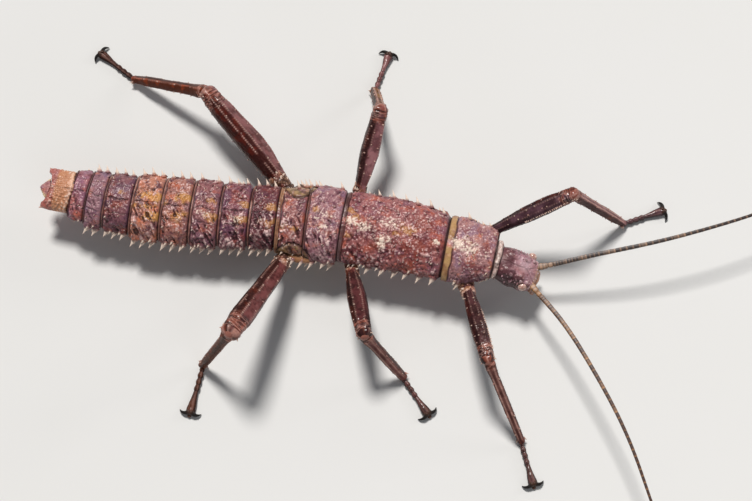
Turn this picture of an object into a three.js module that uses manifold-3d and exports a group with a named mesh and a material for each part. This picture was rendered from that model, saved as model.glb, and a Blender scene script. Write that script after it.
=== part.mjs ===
// A giant thorny stick insect, wingless, standing with its legs spread, as a still life-size model.
// Millimetres. +X runs towards the head, +Y to the insect's left and +Z up. The origin is on the
// surface it stands on, under the middle of the whole insect, feelers included.
import * as THREE from 'three';
import { mergeVertices } from 'three/addons/utils/BufferGeometryUtils.js';
import Module from 'manifold-3d';

const wasm = await Module();
wasm.setup();

// Driving dimensions

const GAP = 0.3; // clearance between neighbouring pieces
const TAIL_HEIGHT = 8.0; // middle of the last abdominal plate above the ground
const TAIL_HEADING = -4; // degrees, the last abdominal plate's own direction
const TAIL_RISE = 0.8; // degrees, how the last abdominal plate climbs towards the head
const PLATE_SIDES = 16;
const PLATE_ROW = 2.6; // about how far apart a plate's rows of points lie
const LIMB_SIDES = 8;
const LIMB_ROWS = 6;
const FEELER_ROWS = 20;
const SPIKE_SIDES = 4;

// The trunk's plates from tail to neck. turn (to the left) and rise are the bend, in degrees, at
// the joint behind the plate; half is the half width at the plate's rear end, middle and front end;
// top and bottom are the height above and the depth below the side margins, at both ends; bow is
// how far the middle of a long plate stands out to the left.
const PLATES = [
  {
    name: 'abdomen_10', length: 4.3, turn: 0, rise: 0,
    half: [4.1, 4.4, 4.3], top: [2.1, 2.6], bottom: [1.9, 2.4],
  },
  {
    name: 'abdomen_9', length: 3.3, turn: 0.5, rise: 0,
    half: [4.5, 4.9, 4.95], top: [2.6, 3.0], bottom: [2.4, 2.8],
  },
  {
    name: 'abdomen_8', length: 3.7, turn: 1, rise: 0,
    half: [5.15, 5.5, 5.5], top: [3.0, 3.3], bottom: [2.8, 3.1],
  },
  {
    name: 'abdomen_7', length: 5.5, turn: 1.5, rise: 0,
    half: [5.6, 5.95, 5.9], top: [3.3, 3.5], bottom: [3.1, 3.3],
  },
  {
    name: 'abdomen_6', length: 5.95, turn: 1, rise: 0,
    half: [6.0, 6.35, 6.25], top: [3.5, 3.6], bottom: [3.3, 3.4],
  },
  {
    name: 'abdomen_5', length: 5.9, turn: 1, rise: 0,
    half: [6.25, 6.5, 6.35], top: [3.6, 3.6], bottom: [3.4, 3.4],
  },
  {
    name: 'abdomen_4', length: 5.7, turn: 0.5, rise: 0,
    half: [6.3, 6.5, 6.35], top: [3.6, 3.6], bottom: [3.4, 3.4],
  },
  {
    name: 'abdomen_3', length: 5.9, turn: 0.5, rise: 0,
    half: [6.25, 6.45, 6.3], top: [3.6, 3.6], bottom: [3.4, 3.4],
  },
  {
    name: 'abdomen_2', length: 5.5, turn: 0, rise: 0,
    half: [6.2, 6.4, 6.25], top: [3.6, 3.7], bottom: [3.4, 3.4],
  },
  {
    name: 'median_segment', length: 5.8, turn: 0, rise: 0,
    half: [6.35, 6.6, 6.7], top: [3.8, 4.0], bottom: [3.5, 3.6],
  },
  {
    name: 'metathorax', length: 7.0, turn: -1, rise: 0,
    half: [6.85, 7.2, 7.2], top: [4.0, 4.2], bottom: [3.7, 3.8],
  },
  {
    name: 'mesothorax', length: 21.2, turn: -5, rise: 1.1,
    half: [7.1, 7.2, 6.4], top: [4.2, 3.7], bottom: [3.8, 3.5], bow: 0.6,
  },
  {
    name: 'prothorax', length: 9.9, turn: 2, rise: -1.9,
    half: [6.1, 5.95, 4.6], top: [3.6, 2.9], bottom: [3.4, 2.8],
  },
  {
    name: 'neck', length: 1.6, turn: -8, rise: -2,
    half: [3.25, 3.35, 3.2], top: [2.5, 2.4], bottom: [2.4, 2.4],
  },
];

// The radius of a thorn's root: a least radius and a share of its length.
const THORN_ROOT = { least: 0.22, share: 0.11 };

// Rows of thorns on a plate: u from the rear end to the front, angle in degrees up from the side
// margin, length, and sweep, the degrees that the thorn leans back from straight out.
const TERGITE_THORNS = [
  { u: 0.17, angle: -6, length: 1.7, sweep: 30 },
  { u: 0.48, angle: -10, length: 1.4, sweep: 28 },
  { u: 0.8, angle: -8, length: 1.5, sweep: 24 },
  { u: 0.13, angle: 52, length: 0.9, sweep: 45 },
];
const SHORT_TERGITE_THORNS = [
  { u: 0.2, angle: -6, length: 1.3, sweep: 38 },
  { u: 0.68, angle: -10, length: 1.0, sweep: 34 },
];
const THORNS = {
  abdomen_10: [],
  abdomen_9: [{ u: 0.4, angle: -14, length: 0.9, sweep: 45 }],
  abdomen_8: SHORT_TERGITE_THORNS,
  abdomen_7: TERGITE_THORNS,
  abdomen_6: TERGITE_THORNS,
  abdomen_5: TERGITE_THORNS,
  abdomen_4: TERGITE_THORNS,
  abdomen_3: TERGITE_THORNS,
  abdomen_2: TERGITE_THORNS,
  median_segment: [
    { u: 0.62, angle: -2, length: 1.7, sweep: 12 },
    { u: 0.88, angle: -14, length: 2.3, sweep: 10 },
    { u: 0.16, angle: 50, length: 0.8, sweep: 45 },
  ],
  metathorax: [
    { u: 0.14, angle: -14, length: 2.4, sweep: 16 },
    { u: 0.34, angle: 4, length: 2.0, sweep: 12 },
    { u: 0.62, angle: -4, length: 1.7, sweep: 20 },
    { u: 0.86, angle: -10, length: 1.8, sweep: 14 },
    { u: 0.3, angle: 48, length: 0.8, sweep: 40 },
  ],
  mesothorax: [
    { u: 0.3, angle: -8, length: 1.1, sweep: 14 },
    { u: 0.44, angle: -4, length: 1.4, sweep: 10 },
    { u: 0.56, angle: -8, length: 1.2, sweep: 18 },
    { u: 0.67, angle: -4, length: 1.9, sweep: 10 },
    { u: 0.8, angle: -6, length: 1.7, sweep: 12 },
    { u: 0.93, angle: 2, length: 2.1, sweep: 4 },
    { u: 0.9, angle: 50, length: 0.9, sweep: 20 },
  ],
  prothorax: [
    { u: 0.34, angle: -6, length: 1.3, sweep: 10 },
    { u: 0.76, angle: 0, length: 1.2, sweep: 6 },
    { u: 0.9, angle: 46, length: 0.8, sweep: 0 },
  ],
  neck: [],
};

// The notched tail: how deep the last plate's rear edge is scooped, and the tail tip in the notch.
const NOTCH_DEPTH = 1.5;
const NOTCH_HALF_WIDTH = 3.3;
const TAIL_TIP = { length: 2.1, half: 1.9, thickness: 1.1 };

// The head's half width, height and depth at even steps from its rear end to its front end, and the
// thorns on its crown, placed like a plate's.
const HEAD = {
  length: 7.8, half: [3.15, 3.7, 3.85, 2.7],
  top: [2.45, 2.8, 2.6, 1.5], bottom: [2.4, 2.7, 2.6, 1.6], chin: 0.9,
};
const CROWN_THORNS = [
  { u: 0.12, angle: 58, length: 0.6 },
  { u: 0.36, angle: 62, length: 0.9 },
  { u: 0.58, angle: 55, length: 0.8 },
];
const CROWN_THORN_ROOT = 0.35;
const HEAD_JOINT = { turn: -6, rise: -9 };
const MOUTH = { behind: 1.5, drop: 3.5, length: 2.3, half: [1.75, 1.0], depth: 1.1, palp: [0.36, 0.27] };
const EYE = { radius: 0.95, along: 5.2, side: 3.4, up: 0.8 };
const FEELER = { along: 7.2, side: 2.25, up: 0.3, root: 0.72, whip: 0.5, tip: 0.26, rootShare: 1 / 26 };

// Each feeler's course from its root, as a few steps of its gentle curve.
const FEELER_COURSES = {
  left: [[0, 0, 0], [11, 2.6, 2.2], [22.3, 6.4, 3.4], [36.5, 12.6, 3.6], [48.5, 19.2, 2.6]],
  right: [[0, 0, 0], [5.7, -6.8, 1.9], [13.3, -16.9, 3.1], [20.9, -28.7, 3.2], [27.8, -42.6, 2]],
};

// The three kinds of leg. plate and along say where the hip is, side and drop how far out of the
// plate's middle and below its margins. Each profile row is a place along the limb, as a fraction,
// with its half width and half depth there.
const LEGS = {
  front: {
    plate: 'prothorax', along: 5.0, side: 4.9, drop: 3.0, hip: 1.35,
    femur: 20.5, tibia: 19.6, tarsus: 8.7, bow: 1.1, spur: 0,
    femurProfile: [
      [0, 0.9, 0.95], [0.1, 1.0, 1.1], [0.3, 1.05, 1.3],
      [0.6, 1.25, 1.5], [0.85, 1.1, 1.3], [1, 1.2, 1.25],
    ],
    tibiaProfile: [
      [0, 0.8, 0.8], [0.12, 0.9, 0.95], [0.5, 0.85, 0.95],
      [0.9, 0.8, 0.85], [1, 0.75, 0.75],
    ],
  },
  mid: {
    plate: 'mesothorax', along: 2.3, side: 7.0, drop: 2.5, hip: 1.45,
    femur: 18.4, tibia: 15.9, tarsus: 8.8, bow: 0.3, spur: 0,
    femurProfile: [
      [0, 1.15, 1.15], [0.1, 1.25, 1.3], [0.35, 1.4, 1.55],
      [0.65, 1.35, 1.5], [0.88, 1.2, 1.3], [1, 1.3, 1.35],
    ],
    tibiaProfile: [
      [0, 0.85, 0.85], [0.12, 0.95, 1.0], [0.5, 0.95, 1.05],
      [0.9, 0.9, 0.95], [1, 0.8, 0.8],
    ],
  },
  hind: {
    plate: 'median_segment', along: 1.2, side: 7.1, drop: 2.5, hip: 1.65,
    femur: 25.4, tibia: 19.8, tarsus: 9.6, bow: 0.4, spur: 2.3,
    femurProfile: [
      [0, 1.3, 1.3], [0.08, 1.5, 1.6], [0.3, 1.9, 2.0], [0.5, 1.9, 2.05],
      [0.75, 1.65, 1.8], [0.9, 1.5, 1.55], [1, 1.6, 1.6],
    ],
    tibiaProfile: [
      [0, 0.95, 1.0], [0.15, 1.1, 1.15], [0.5, 1.0, 1.1],
      [0.9, 0.95, 1.0], [1, 0.85, 0.85],
    ],
  },
};

// Each leg's pose. swing is how far forward its hip is carried; the rest is in degrees: headings
// from +X towards the left, and the climb of the thigh. The shin drops from the knee to the ankle,
// which stands at one height over the ground on every leg.
const POSES = {
  front_left: { swing: 1.6, femur: 25.5, climb: 31.4, tibia: 4.9, tarsus: 26.8 },
  front_right: { swing: -0.6, femur: -70.6, climb: 22.2, tibia: -53.7, tarsus: -67.4 },
  mid_left: { swing: -0.8, femur: 81.8, climb: 25.0, tibia: 105, tarsus: 78.6 },
  mid_right: { swing: 1.0, femur: -73.0, climb: 26.3, tibia: -26.1, tarsus: -48.0 },
  hind_left: { swing: -0.7, femur: 137.4, climb: 10.7, tibia: 164.7, tarsus: 148.9 },
  hind_right: { swing: 1.0, femur: -108.2, climb: 33.0, tibia: -158.3, tarsus: -95.9 },
};
const ANKLE_HEIGHT = 1.5;
const KEEL = 0.16; // how far a limb's keels stand out, as a share of its half width
const HIP_SUNK = 3.2; // how deep inside the trunk a hip joint is rooted
const HIP_KNOB = { length: 1.1, radius: 0.35 };
const THIGH_SPUR = { along: 0.62, root: 1.9, radius: 0.55 };
const SHIN_SPUR = { along: 0.2, root: 1.1, length: 1.0, radius: 0.45 };

// A foot is a row of short joints and one long one. height is its middle above the ground,
// thickness and waist its half depths, and pad how much deeper it is underneath.
const FOOT = {
  height: 0.72, thickness: 0.72, waist: 0.5, width: 0.62,
  pad: 1.35, shortJoints: 4, shortShare: 0.56, ramp: 0.16,
};
const CLAW = { length: 2.2, radius: 0.34, spread: 40, curl: 85 };

// Colours

const COLOURS = {
  cuticle: 0x7d4a45,
  leg: 0x4a1f1a,
  membrane: 0xc09a6a,
  feeler: 0x5a2c1c,
  eye: 0xb9a184,
  claw: 0x15100e,
};
const ROUGHNESS = 0.45;

// Solids

const Y_AXIS = new THREE.Vector3(0, 1, 0);
const Z_AXIS = new THREE.Vector3(0, 0, 1);
const radians = THREE.MathUtils.degToRad;
const lerp = THREE.MathUtils.lerp;

// A closed solid with a round or keeled section, drawn out along a course. place(u, angle, radius)
// gives each point: u is 0 at one end and 1 at the other, angle is 0 at the left side and a quarter
// turn at the top, and radius is 1 on the surface and 0 at the middle of an end.
function drawn(sides, rows, place) {
  const raw = new THREE.CylinderGeometry(1, 1, 1, sides, rows);
  raw.deleteAttribute('normal');
  raw.deleteAttribute('uv');
  const geometry = mergeVertices(raw);
  const position = geometry.attributes.position;
  for (let i = 0; i < position.count; i++) {
    const up = position.getX(i);
    const side = position.getZ(i);
    const point = place(position.getY(i) + 0.5, Math.atan2(up, side), Math.round(Math.hypot(up, side)));
    position.setXYZ(i, point.x, point.y, point.z);
  }
  return solid(geometry);
}

function solid(geometry) {
  const vertProperties = new Float32Array(geometry.attributes.position.array);
  const triVerts = new Uint32Array(geometry.index.array);
  return new wasm.Manifold(new wasm.Mesh({ numProp: 3, vertProperties, triVerts }));
}

function merged(raw) {
  raw.deleteAttribute('normal');
  raw.deleteAttribute('uv');
  return mergeVertices(raw);
}

function ball(centre, radius, sides) {
  const geometry = merged(new THREE.SphereGeometry(radius, sides, Math.round(sides / 2)));
  geometry.translate(centre.x, centre.y, centre.z);
  return solid(geometry);
}

// A spike with its root sunk below the surface.
function spike(root, direction, length, radius) {
  const sunk = radius;
  const geometry = merged(new THREE.ConeGeometry(radius, length + sunk, SPIKE_SIDES));
  geometry.translate(0, (length - sunk) / 2, 0);
  geometry.applyQuaternion(new THREE.Quaternion().setFromUnitVectors(Y_AXIS, direction));
  geometry.translate(root.x, root.y, root.z);
  return solid(geometry);
}

// A value along a row of evenly spaced stops.
function stops(values, u) {
  const place = u * (values.length - 1);
  const index = Math.min(Math.floor(place), values.length - 2);
  return lerp(values[index], values[index + 1], place - index);
}

// The half width and half depth of a limb at a fraction of its length.
function girth(profile, u) {
  const next = Math.max(1, profile.findIndex((row) => row[0] >= u));
  const [from, to] = [profile[next - 1], profile[next]];
  const share = (u - from[0]) / (to[0] - from[0]);
  return [lerp(from[1], to[1], share), lerp(from[2], to[2], share)];
}

// A direction from a heading and a climb in degrees.
function direction(heading, climb) {
  const [turn, lift] = [radians(heading), radians(climb)];
  const level = Math.cos(lift);
  return new THREE.Vector3(level * Math.cos(turn), level * Math.sin(turn), Math.sin(lift));
}

function matrixFrom(origin, along, up) {
  const side = new THREE.Vector3().crossVectors(up, along).normalize();
  const top = new THREE.Vector3().crossVectors(along, side);
  return new THREE.Matrix4().makeBasis(along, side, top).setPosition(origin);
}

// Trunk

// The section of a plate: a low roof over the side margins and a rounder belly under them.
function plateSection(angle, half, top, bottom) {
  const [side, up] = [Math.cos(angle), Math.sin(angle)];
  const height = up > 0 ? top * up ** 1.1 : -bottom * (-up) ** 0.85;
  return [half * Math.sign(side) * Math.abs(side) ** 0.9, height];
}

// How far a point at a plate's bent end stands ahead of the end's middle.
function miter(joint, y, z) {
  return y * Math.tan(radians(joint.turn) / 2) + z * Math.tan(radians(joint.rise) / 2);
}

function platePoint(plate, next, u, angle, radius, grow) {
  const bulge = 1 - (2 * u - 1) ** 2;
  const [rearHalf, midHalf, frontHalf] = plate.half;
  const half = lerp(rearHalf, frontHalf, u) + bulge * (midHalf - (rearHalf + frontHalf) / 2) + grow;
  const [top, bottom] = [stops(plate.top, u) + grow, stops(plate.bottom, u) + grow];
  const [side, up] = plateSection(angle, half, top, bottom);
  const [y, z] = [side * radius + (plate.bow ?? 0) * bulge, up * radius];
  const rear = GAP / 2 + miter(plate, y, z);
  const front = plate.length - GAP / 2 - miter(next, y, z);
  return new THREE.Vector3(lerp(rear - grow, front + grow, u), y, z);
}

function plateSolid(plate, next, grow = 0) {
  const rows = Math.max(2, Math.round(plate.length / PLATE_ROW));
  return drawn(PLATE_SIDES, rows, (u, angle, radius) => platePoint(plate, next, u, angle, radius, grow));
}

function plateThorns(plate, next) {
  const thorns = [];
  for (const { u, angle, length, sweep } of THORNS[plate.name]) {
    for (const side of [1, -1]) {
      const around = side > 0 ? radians(angle) : Math.PI - radians(angle);
      const root = platePoint(plate, next, u, around, 1, 0);
      const lean = radians(sweep);
      const lift = radians(Math.max(angle, -4));
      const [aside, up] = [side * Math.cos(lean) * Math.cos(lift), Math.cos(lean) * Math.sin(lift)];
      const out = new THREE.Vector3(-Math.sin(lean), aside, up);
      thorns.push(spike(root, out, length, THORN_ROOT.least + THORN_ROOT.share * length));
    }
  }
  return thorns;
}

// The last plate ends in two lobes round a scooped notch, in which the tail tip sits.
function lastPlate(plate, next) {
  const rear = -NOTCH_DEPTH;
  const shape = drawn(PLATE_SIDES, 4, (u, angle, radius) => {
    const point = platePoint(plate, next, u, angle, radius, 0);
    const flat = lerp(0.55, 1, Math.min(1, u * 2));
    return new THREE.Vector3(lerp(rear, point.x, u), point.y, point.z * flat);
  });
  const scoop = merged(new THREE.CylinderGeometry(NOTCH_HALF_WIDTH, NOTCH_HALF_WIDTH, 10, 16));
  scoop.rotateX(Math.PI / 2);
  scoop.scale((NOTCH_DEPTH + 0.2) / NOTCH_HALF_WIDTH, 1, 1);
  scoop.translate(rear - 0.2, 0, 0);
  return shape.subtract(solid(scoop));
}

function tailTip() {
  const { length, half, thickness } = TAIL_TIP;
  const root = -GAP - 0.1;
  return drawn(8, 3, (u, angle, radius) => {
    const width = half * (1 - (1 - u) ** 1.6) + 0.3;
    const depth = thickness * lerp(0.35, 1, u);
    return new THREE.Vector3(lerp(root - length, root, u) - 0.12 * (radius * width * Math.cos(angle)) ** 2 * u,
      radius * width * Math.cos(angle), radius * depth * Math.sin(angle));
  });
}

// Head

function headPoint(u, angle, radius, grow) {
  const rounded = Math.sqrt(Math.max(0, 1 - Math.max(0, (u - 0.82) / 0.22) ** 2));
  const half = (stops(HEAD.half, u) + grow) * Math.max(rounded, 0.5);
  const [side, up] = plateSection(angle, half, stops(HEAD.top, u) + grow, stops(HEAD.bottom, u) + grow);
  const [y, z] = [side * radius, up * radius];
  const rear = GAP / 2 + miter(HEAD_JOINT, y, z);
  return new THREE.Vector3(lerp(rear - grow, HEAD.length + grow, u), y, z - HEAD.chin * u ** 3);
}

function headShell(grow) {
  return drawn(PLATE_SIDES, 5, (u, angle, radius) => headPoint(u, angle, radius, grow));
}

function headSolid() {
  let head = headShell(0);
  for (const side of [1, -1]) {
    const eye = new THREE.Vector3(EYE.along, side * EYE.side, EYE.up);
    head = head.subtract(ball(eye, EYE.radius + GAP, 8));
    for (const { u, angle, length } of CROWN_THORNS) {
      const around = side > 0 ? radians(angle) : Math.PI - radians(angle);
      const out = new THREE.Vector3(-0.3, side * 0.5, 0.8).normalize();
      head = head.add(spike(headPoint(u, around, 1, 0), out, length, CROWN_THORN_ROOT));
    }
  }
  return head;
}

function mouthSolid() {
  const root = new THREE.Vector3(HEAD.length - MOUTH.behind, 0, -MOUTH.drop);
  let mouth = drawn(8, 2, (u, angle, radius) => {
    const half = lerp(MOUTH.half[0], MOUTH.half[1], u ** 2);
    const up = radius * MOUTH.depth * Math.sin(angle) - 0.3 * u;
    return new THREE.Vector3(root.x + MOUTH.length * u, radius * half * Math.cos(angle), root.z + up);
  });
  for (const side of [1, -1]) {
    const palp = new THREE.CatmullRomCurve3([
      new THREE.Vector3(root.x + 0.8, side * 1.2, root.z),
      new THREE.Vector3(root.x + 2.2, side * 2.1, root.z - 0.4),
      new THREE.Vector3(root.x + 3.4, side * 1.9, root.z - 1.1),
    ]);
    mouth = mouth.add(alongCurve(palp, 5, 3, (u) => lerp(MOUTH.palp[0], MOUTH.palp[1], u)));
  }
  return mouth;
}

function alongCurve(curve, sides, rows, radiusAt) {
  return drawn(sides, rows, (u, angle, radius) => {
    const tangent = curve.getTangent(u);
    const side = new THREE.Vector3().crossVectors(Z_AXIS, tangent).normalize();
    const up = new THREE.Vector3().crossVectors(tangent, side);
    const reach = radius * radiusAt(u);
    const off = side.multiplyScalar(reach * Math.cos(angle)).addScaledVector(up, reach * Math.sin(angle));
    return curve.getPoint(u).add(off);
  });
}

function feelerSolid(course, origin) {
  const curve = new THREE.CatmullRomCurve3(course.map((step) => new THREE.Vector3(...step).add(origin)));
  return alongCurve(curve, 6, FEELER_ROWS, (u) => {
    const swollen = Math.max(0, 1 - u / FEELER.rootShare);
    return lerp(lerp(FEELER.whip, FEELER.tip, u), FEELER.root, swollen);
  });
}

// Legs

// A limb's section has four keels with nearly flat faces between them.
function limbSolid(matrix, length, profile, bow, roundEnd, grow) {
  return drawn(LIMB_SIDES, LIMB_ROWS, (u, angle, radius) => {
    const [halfWidth, halfDepth] = girth(profile, u);
    const keel = 1 - KEEL * Math.cos(4 * angle);
    const closing = u === 1 ? roundEnd : 1;
    const reach = radius * keel * closing;
    const endDome = u === 1 ? halfWidth * 0.75 : 0;
    const sag = bow * 4 * (u - u * u) * (1 - u);
    const side = reach * (halfWidth + grow) * Math.cos(angle);
    const up = reach * (halfDepth + grow) * Math.sin(angle) + sag;
    return new THREE.Vector3(length * u + endDome, side, up).applyMatrix4(matrix);
  });
}

// Where a thigh, shin and foot lie, from the hip down to the ground.
function legFrames(kind, pose, hip) {
  const size = LEGS[kind];
  const thigh = direction(pose.femur, pose.climb);
  const knee = hip.clone().addScaledVector(thigh, size.femur);
  const drop = THREE.MathUtils.radToDeg(Math.asin((ANKLE_HEIGHT - knee.z) / size.tibia));
  const shin = direction(pose.tibia, drop);
  const ankle = knee.clone().addScaledVector(shin, size.tibia);
  const thighUp = thigh.clone().multiplyScalar(thigh.dot(shin)).sub(shin).normalize();
  const shinUp = thigh.clone().addScaledVector(shin, -thigh.dot(shin)).normalize();
  return {
    femur: matrixFrom(hip, thigh, thighUp),
    tibia: matrixFrom(knee, shin, shinUp),
    tarsus: matrixFrom(ankle.setZ(0), direction(pose.tarsus, 0), Z_AXIS),
  };
}

// The short hip joint that carries the thigh: a stub out of the trunk with a ball at its end.
function coxaSolid(kind, side, plateMatrix, hip, grow = 0) {
  const size = LEGS[kind];
  const root = new THREE.Vector3(size.along + size.hip * 0.4, side * (size.side - HIP_SUNK), 0.3 - size.drop);
  root.applyMatrix4(plateMatrix);
  const along = hip.clone().sub(root);
  const length = along.length();
  const matrix = matrixFrom(root, along.normalize(), Z_AXIS);
  const coxa = drawn(8, 2, (u, angle, radius) => {
    const reach = radius * (size.hip * lerp(1.25, 0.95, u) + grow);
    return new THREE.Vector3(length * u, reach * Math.cos(angle), reach * Math.sin(angle)).applyMatrix4(matrix);
  });
  const out = new THREE.Vector3(0.45, side * 0.5, 0.75).normalize();
  const knobRoot = hip.clone().addScaledVector(out, size.hip * 0.85);
  const knob = spike(knobRoot, out, HIP_KNOB.length + grow, HIP_KNOB.radius + grow);
  return coxa.add(ball(hip, size.hip + grow, 8)).add(knob);
}

function femurSolid(kind, frames, grow = 0) {
  const size = LEGS[kind];
  let femur = limbSolid(frames.femur, size.femur, size.femurProfile, size.bow, 0.55, grow);
  if (grow === 0 && size.spur > 0) {
    const root = new THREE.Vector3(size.femur * THIGH_SPUR.along, 0, -THIGH_SPUR.root);
    root.applyMatrix4(frames.femur);
    const out = new THREE.Vector3(0.45, 0, -1).normalize().transformDirection(frames.femur);
    femur = femur.add(spike(root, out, size.spur, THIGH_SPUR.radius));
  }
  return femur;
}

function tibiaSolid(kind, frames, grow = 0) {
  const size = LEGS[kind];
  let tibia = limbSolid(frames.tibia, size.tibia, size.tibiaProfile, 0, 0.6, grow);
  if (grow === 0 && size.spur > 0) {
    const root = new THREE.Vector3(size.tibia * SHIN_SPUR.along, 0, -SHIN_SPUR.root);
    root.applyMatrix4(frames.tibia);
    const out = new THREE.Vector3(0.3, 0, -1).normalize().transformDirection(frames.tibia);
    tibia = tibia.add(spike(root, out, SHIN_SPUR.length, SHIN_SPUR.radius));
  }
  return tibia;
}

// Where along the foot a row of points lies, and how swollen the foot is there. The short joints
// take two rows each, one at the waist and one at the swelling.
function footStation(row, rows) {
  const shortRows = 2 * FOOT.shortJoints;
  if (row <= shortRows) {
    return [(FOOT.shortShare * row) / shortRows, row % 2];
  }
  const share = (row - shortRows) / (rows - shortRows);
  return [lerp(FOOT.shortShare, 1, share), Math.min(1, share * 1.5)];
}

// The foot's joints are flat underneath where they press on the ground.
function tarsusSolid(kind, frames, grow = 0) {
  const { tarsus } = LEGS[kind];
  const rows = 2 * FOOT.shortJoints + 3;
  return drawn(6, rows, (u, angle, radius) => {
    const [along, swell] = footStation(Math.round(u * rows), rows);
    const depth = lerp(FOOT.waist, FOOT.thickness, swell) + grow;
    const width = (depth / FOOT.thickness) * FOOT.width * lerp(0.95, 1.3, along ** 4);
    const centre = FOOT.height + (ANKLE_HEIGHT - FOOT.height) * Math.max(0, 1 - along / FOOT.ramp) ** 1.5;
    const rise = radius * depth * Math.sin(angle);
    const height = Math.max(0, centre + (rise < 0 ? rise * FOOT.pad : rise));
    const point = new THREE.Vector3(tarsus * along, radius * width * Math.cos(angle), height);
    return point.applyMatrix4(frames.tarsus);
  });
}

// Two hooked claws on a small pad at the end of the foot. Each claw starts out forwards and curls
// round to the side, coming down to the ground.
function clawSolid(kind, frames) {
  const { tarsus } = LEGS[kind];
  const root = new THREE.Vector3(tarsus + 0.25, 0, FOOT.height);
  let claws = drawn(6, 2, (u, angle, radius) => {
    const reach = radius * lerp(0.62, 0.4, u);
    const height = Math.max(0, root.z + reach * Math.sin(angle));
    return new THREE.Vector3(root.x - 0.5 + 1.2 * u, 1.2 * reach * Math.cos(angle), height);
  });
  const curve = CLAW.length / radians(CLAW.curl);
  for (const side of [1, -1]) {
    const hook = drawn(5, 3, (u, angle, radius) => {
      const from = radians(CLAW.spread);
      const heading = from + u * radians(CLAW.curl);
      const ahead = curve * (Math.sin(heading) - Math.sin(from));
      const aside = 0.2 + curve * (Math.cos(from) - Math.cos(heading));
      const reach = radius * CLAW.radius * (1.02 - u) ** 0.6;
      const across = reach * Math.cos(angle);
      return new THREE.Vector3(
        root.x + ahead - across * Math.sin(heading),
        side * (aside + across * Math.cos(heading)),
        lerp(FOOT.height + 0.1, CLAW.radius * 0.6, u ** 2) + side * reach * Math.sin(angle),
      );
    });
    claws = claws.add(hook);
  }
  return claws.transform(frames.tarsus.elements);
}

// Assembly

const insect = new THREE.Group();
insect.name = 'giant_stick_insect';

function add(name, shape, colour) {
  const { vertProperties, triVerts } = shape.getMesh();
  const geometry = new THREE.BufferGeometry();
  geometry.setAttribute('position', new THREE.Float32BufferAttribute(vertProperties, 3));
  geometry.setIndex(new THREE.Uint32BufferAttribute(triVerts, 1));
  geometry.computeVertexNormals();
  const material = new THREE.MeshStandardMaterial({ color: colour, roughness: ROUGHNESS, metalness: 0 });
  const mesh = new THREE.Mesh(geometry, material);
  mesh.name = name;
  insect.add(mesh);
}

// Each plate starts where the one behind it ends, turned and tipped by its own joint.
const plateMatrices = {};
const cutters = {};
const matrix = new THREE.Matrix4().makeTranslation(0, 0, TAIL_HEIGHT);
matrix.multiply(new THREE.Matrix4().makeRotationZ(radians(TAIL_HEADING)));
matrix.multiply(new THREE.Matrix4().makeRotationY(radians(-TAIL_RISE)));
PLATES.forEach((plate, index) => {
  const next = PLATES[index + 1] ?? HEAD_JOINT;
  if (index > 0) {
    matrix.multiply(new THREE.Matrix4().makeRotationZ(radians(plate.turn)));
    matrix.multiply(new THREE.Matrix4().makeRotationY(radians(-plate.rise)));
  }
  plateMatrices[plate.name] = matrix.clone();
  cutters[plate.name] = plateSolid(plate, next, GAP).transform(matrix.elements);
  const base = index === 0 ? lastPlate(plate, next) : plateSolid(plate, next);
  const shape = plateThorns(plate, next).reduce((whole, thorn) => whole.add(thorn), base);
  add(plate.name, shape.transform(matrix.elements), plate.name === 'neck' ? COLOURS.membrane : COLOURS.cuticle);
  matrix.multiply(new THREE.Matrix4().makeTranslation(plate.length, 0, 0));
});
add('tail_tip', tailTip().transform(plateMatrices.abdomen_10.elements), COLOURS.cuticle);

matrix.multiply(new THREE.Matrix4().makeRotationZ(radians(HEAD_JOINT.turn)));
matrix.multiply(new THREE.Matrix4().makeRotationY(radians(-HEAD_JOINT.rise)));
const clearOfHead = headShell(GAP).transform(matrix.elements);
add('head', headSolid().transform(matrix.elements), COLOURS.cuticle);
add('mouthparts', mouthSolid().transform(matrix.elements).subtract(clearOfHead), COLOURS.leg);
for (const [name, side] of [['left', 1], ['right', -1]]) {
  const eye = new THREE.Vector3(EYE.along, side * EYE.side, EYE.up);
  add(`eye_${name}`, ball(eye, EYE.radius, 8).transform(matrix.elements), COLOURS.eye);
  const root = new THREE.Vector3(FEELER.along, side * FEELER.side, FEELER.up).applyMatrix4(matrix);
  add(`feeler_${name}`, feelerSolid(FEELER_COURSES[name], root).subtract(clearOfHead), COLOURS.feeler);
}

function clearOfTrunk(shape) {
  return Object.values(cutters).reduce((rest, cutter) => rest.subtract(cutter), shape);
}

for (const [name, pose] of Object.entries(POSES)) {
  const [kind, sideName] = name.split('_');
  const side = sideName === 'left' ? 1 : -1;
  const size = LEGS[kind];
  const plateMatrix = plateMatrices[size.plate];
  const hip = new THREE.Vector3(size.along + pose.swing, side * size.side, -size.drop);
  hip.applyMatrix4(plateMatrix);
  const frames = legFrames(kind, pose, hip);
  const coxa = clearOfTrunk(coxaSolid(kind, side, plateMatrix, hip));
  const femur = clearOfTrunk(femurSolid(kind, frames).subtract(coxaSolid(kind, side, plateMatrix, hip, GAP)));
  const tibia = tibiaSolid(kind, frames).subtract(femurSolid(kind, frames, GAP));
  const tarsus = tarsusSolid(kind, frames).subtract(tibiaSolid(kind, frames, GAP));
  const claws = clawSolid(kind, frames).subtract(tarsusSolid(kind, frames, GAP));
  add(`coxa_${name}`, coxa, COLOURS.leg);
  add(`femur_${name}`, femur, COLOURS.leg);
  add(`tibia_${name}`, tibia, COLOURS.leg);
  add(`tarsus_${name}`, tarsus, COLOURS.leg);
  add(`claws_${name}`, claws, COLOURS.claw);
}

const box = new THREE.Box3().setFromObject(insect);
insect.position.set(-(box.min.x + box.max.x) / 2, -(box.min.y + box.max.y) / 2, -box.min.z);

export default insect;
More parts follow.
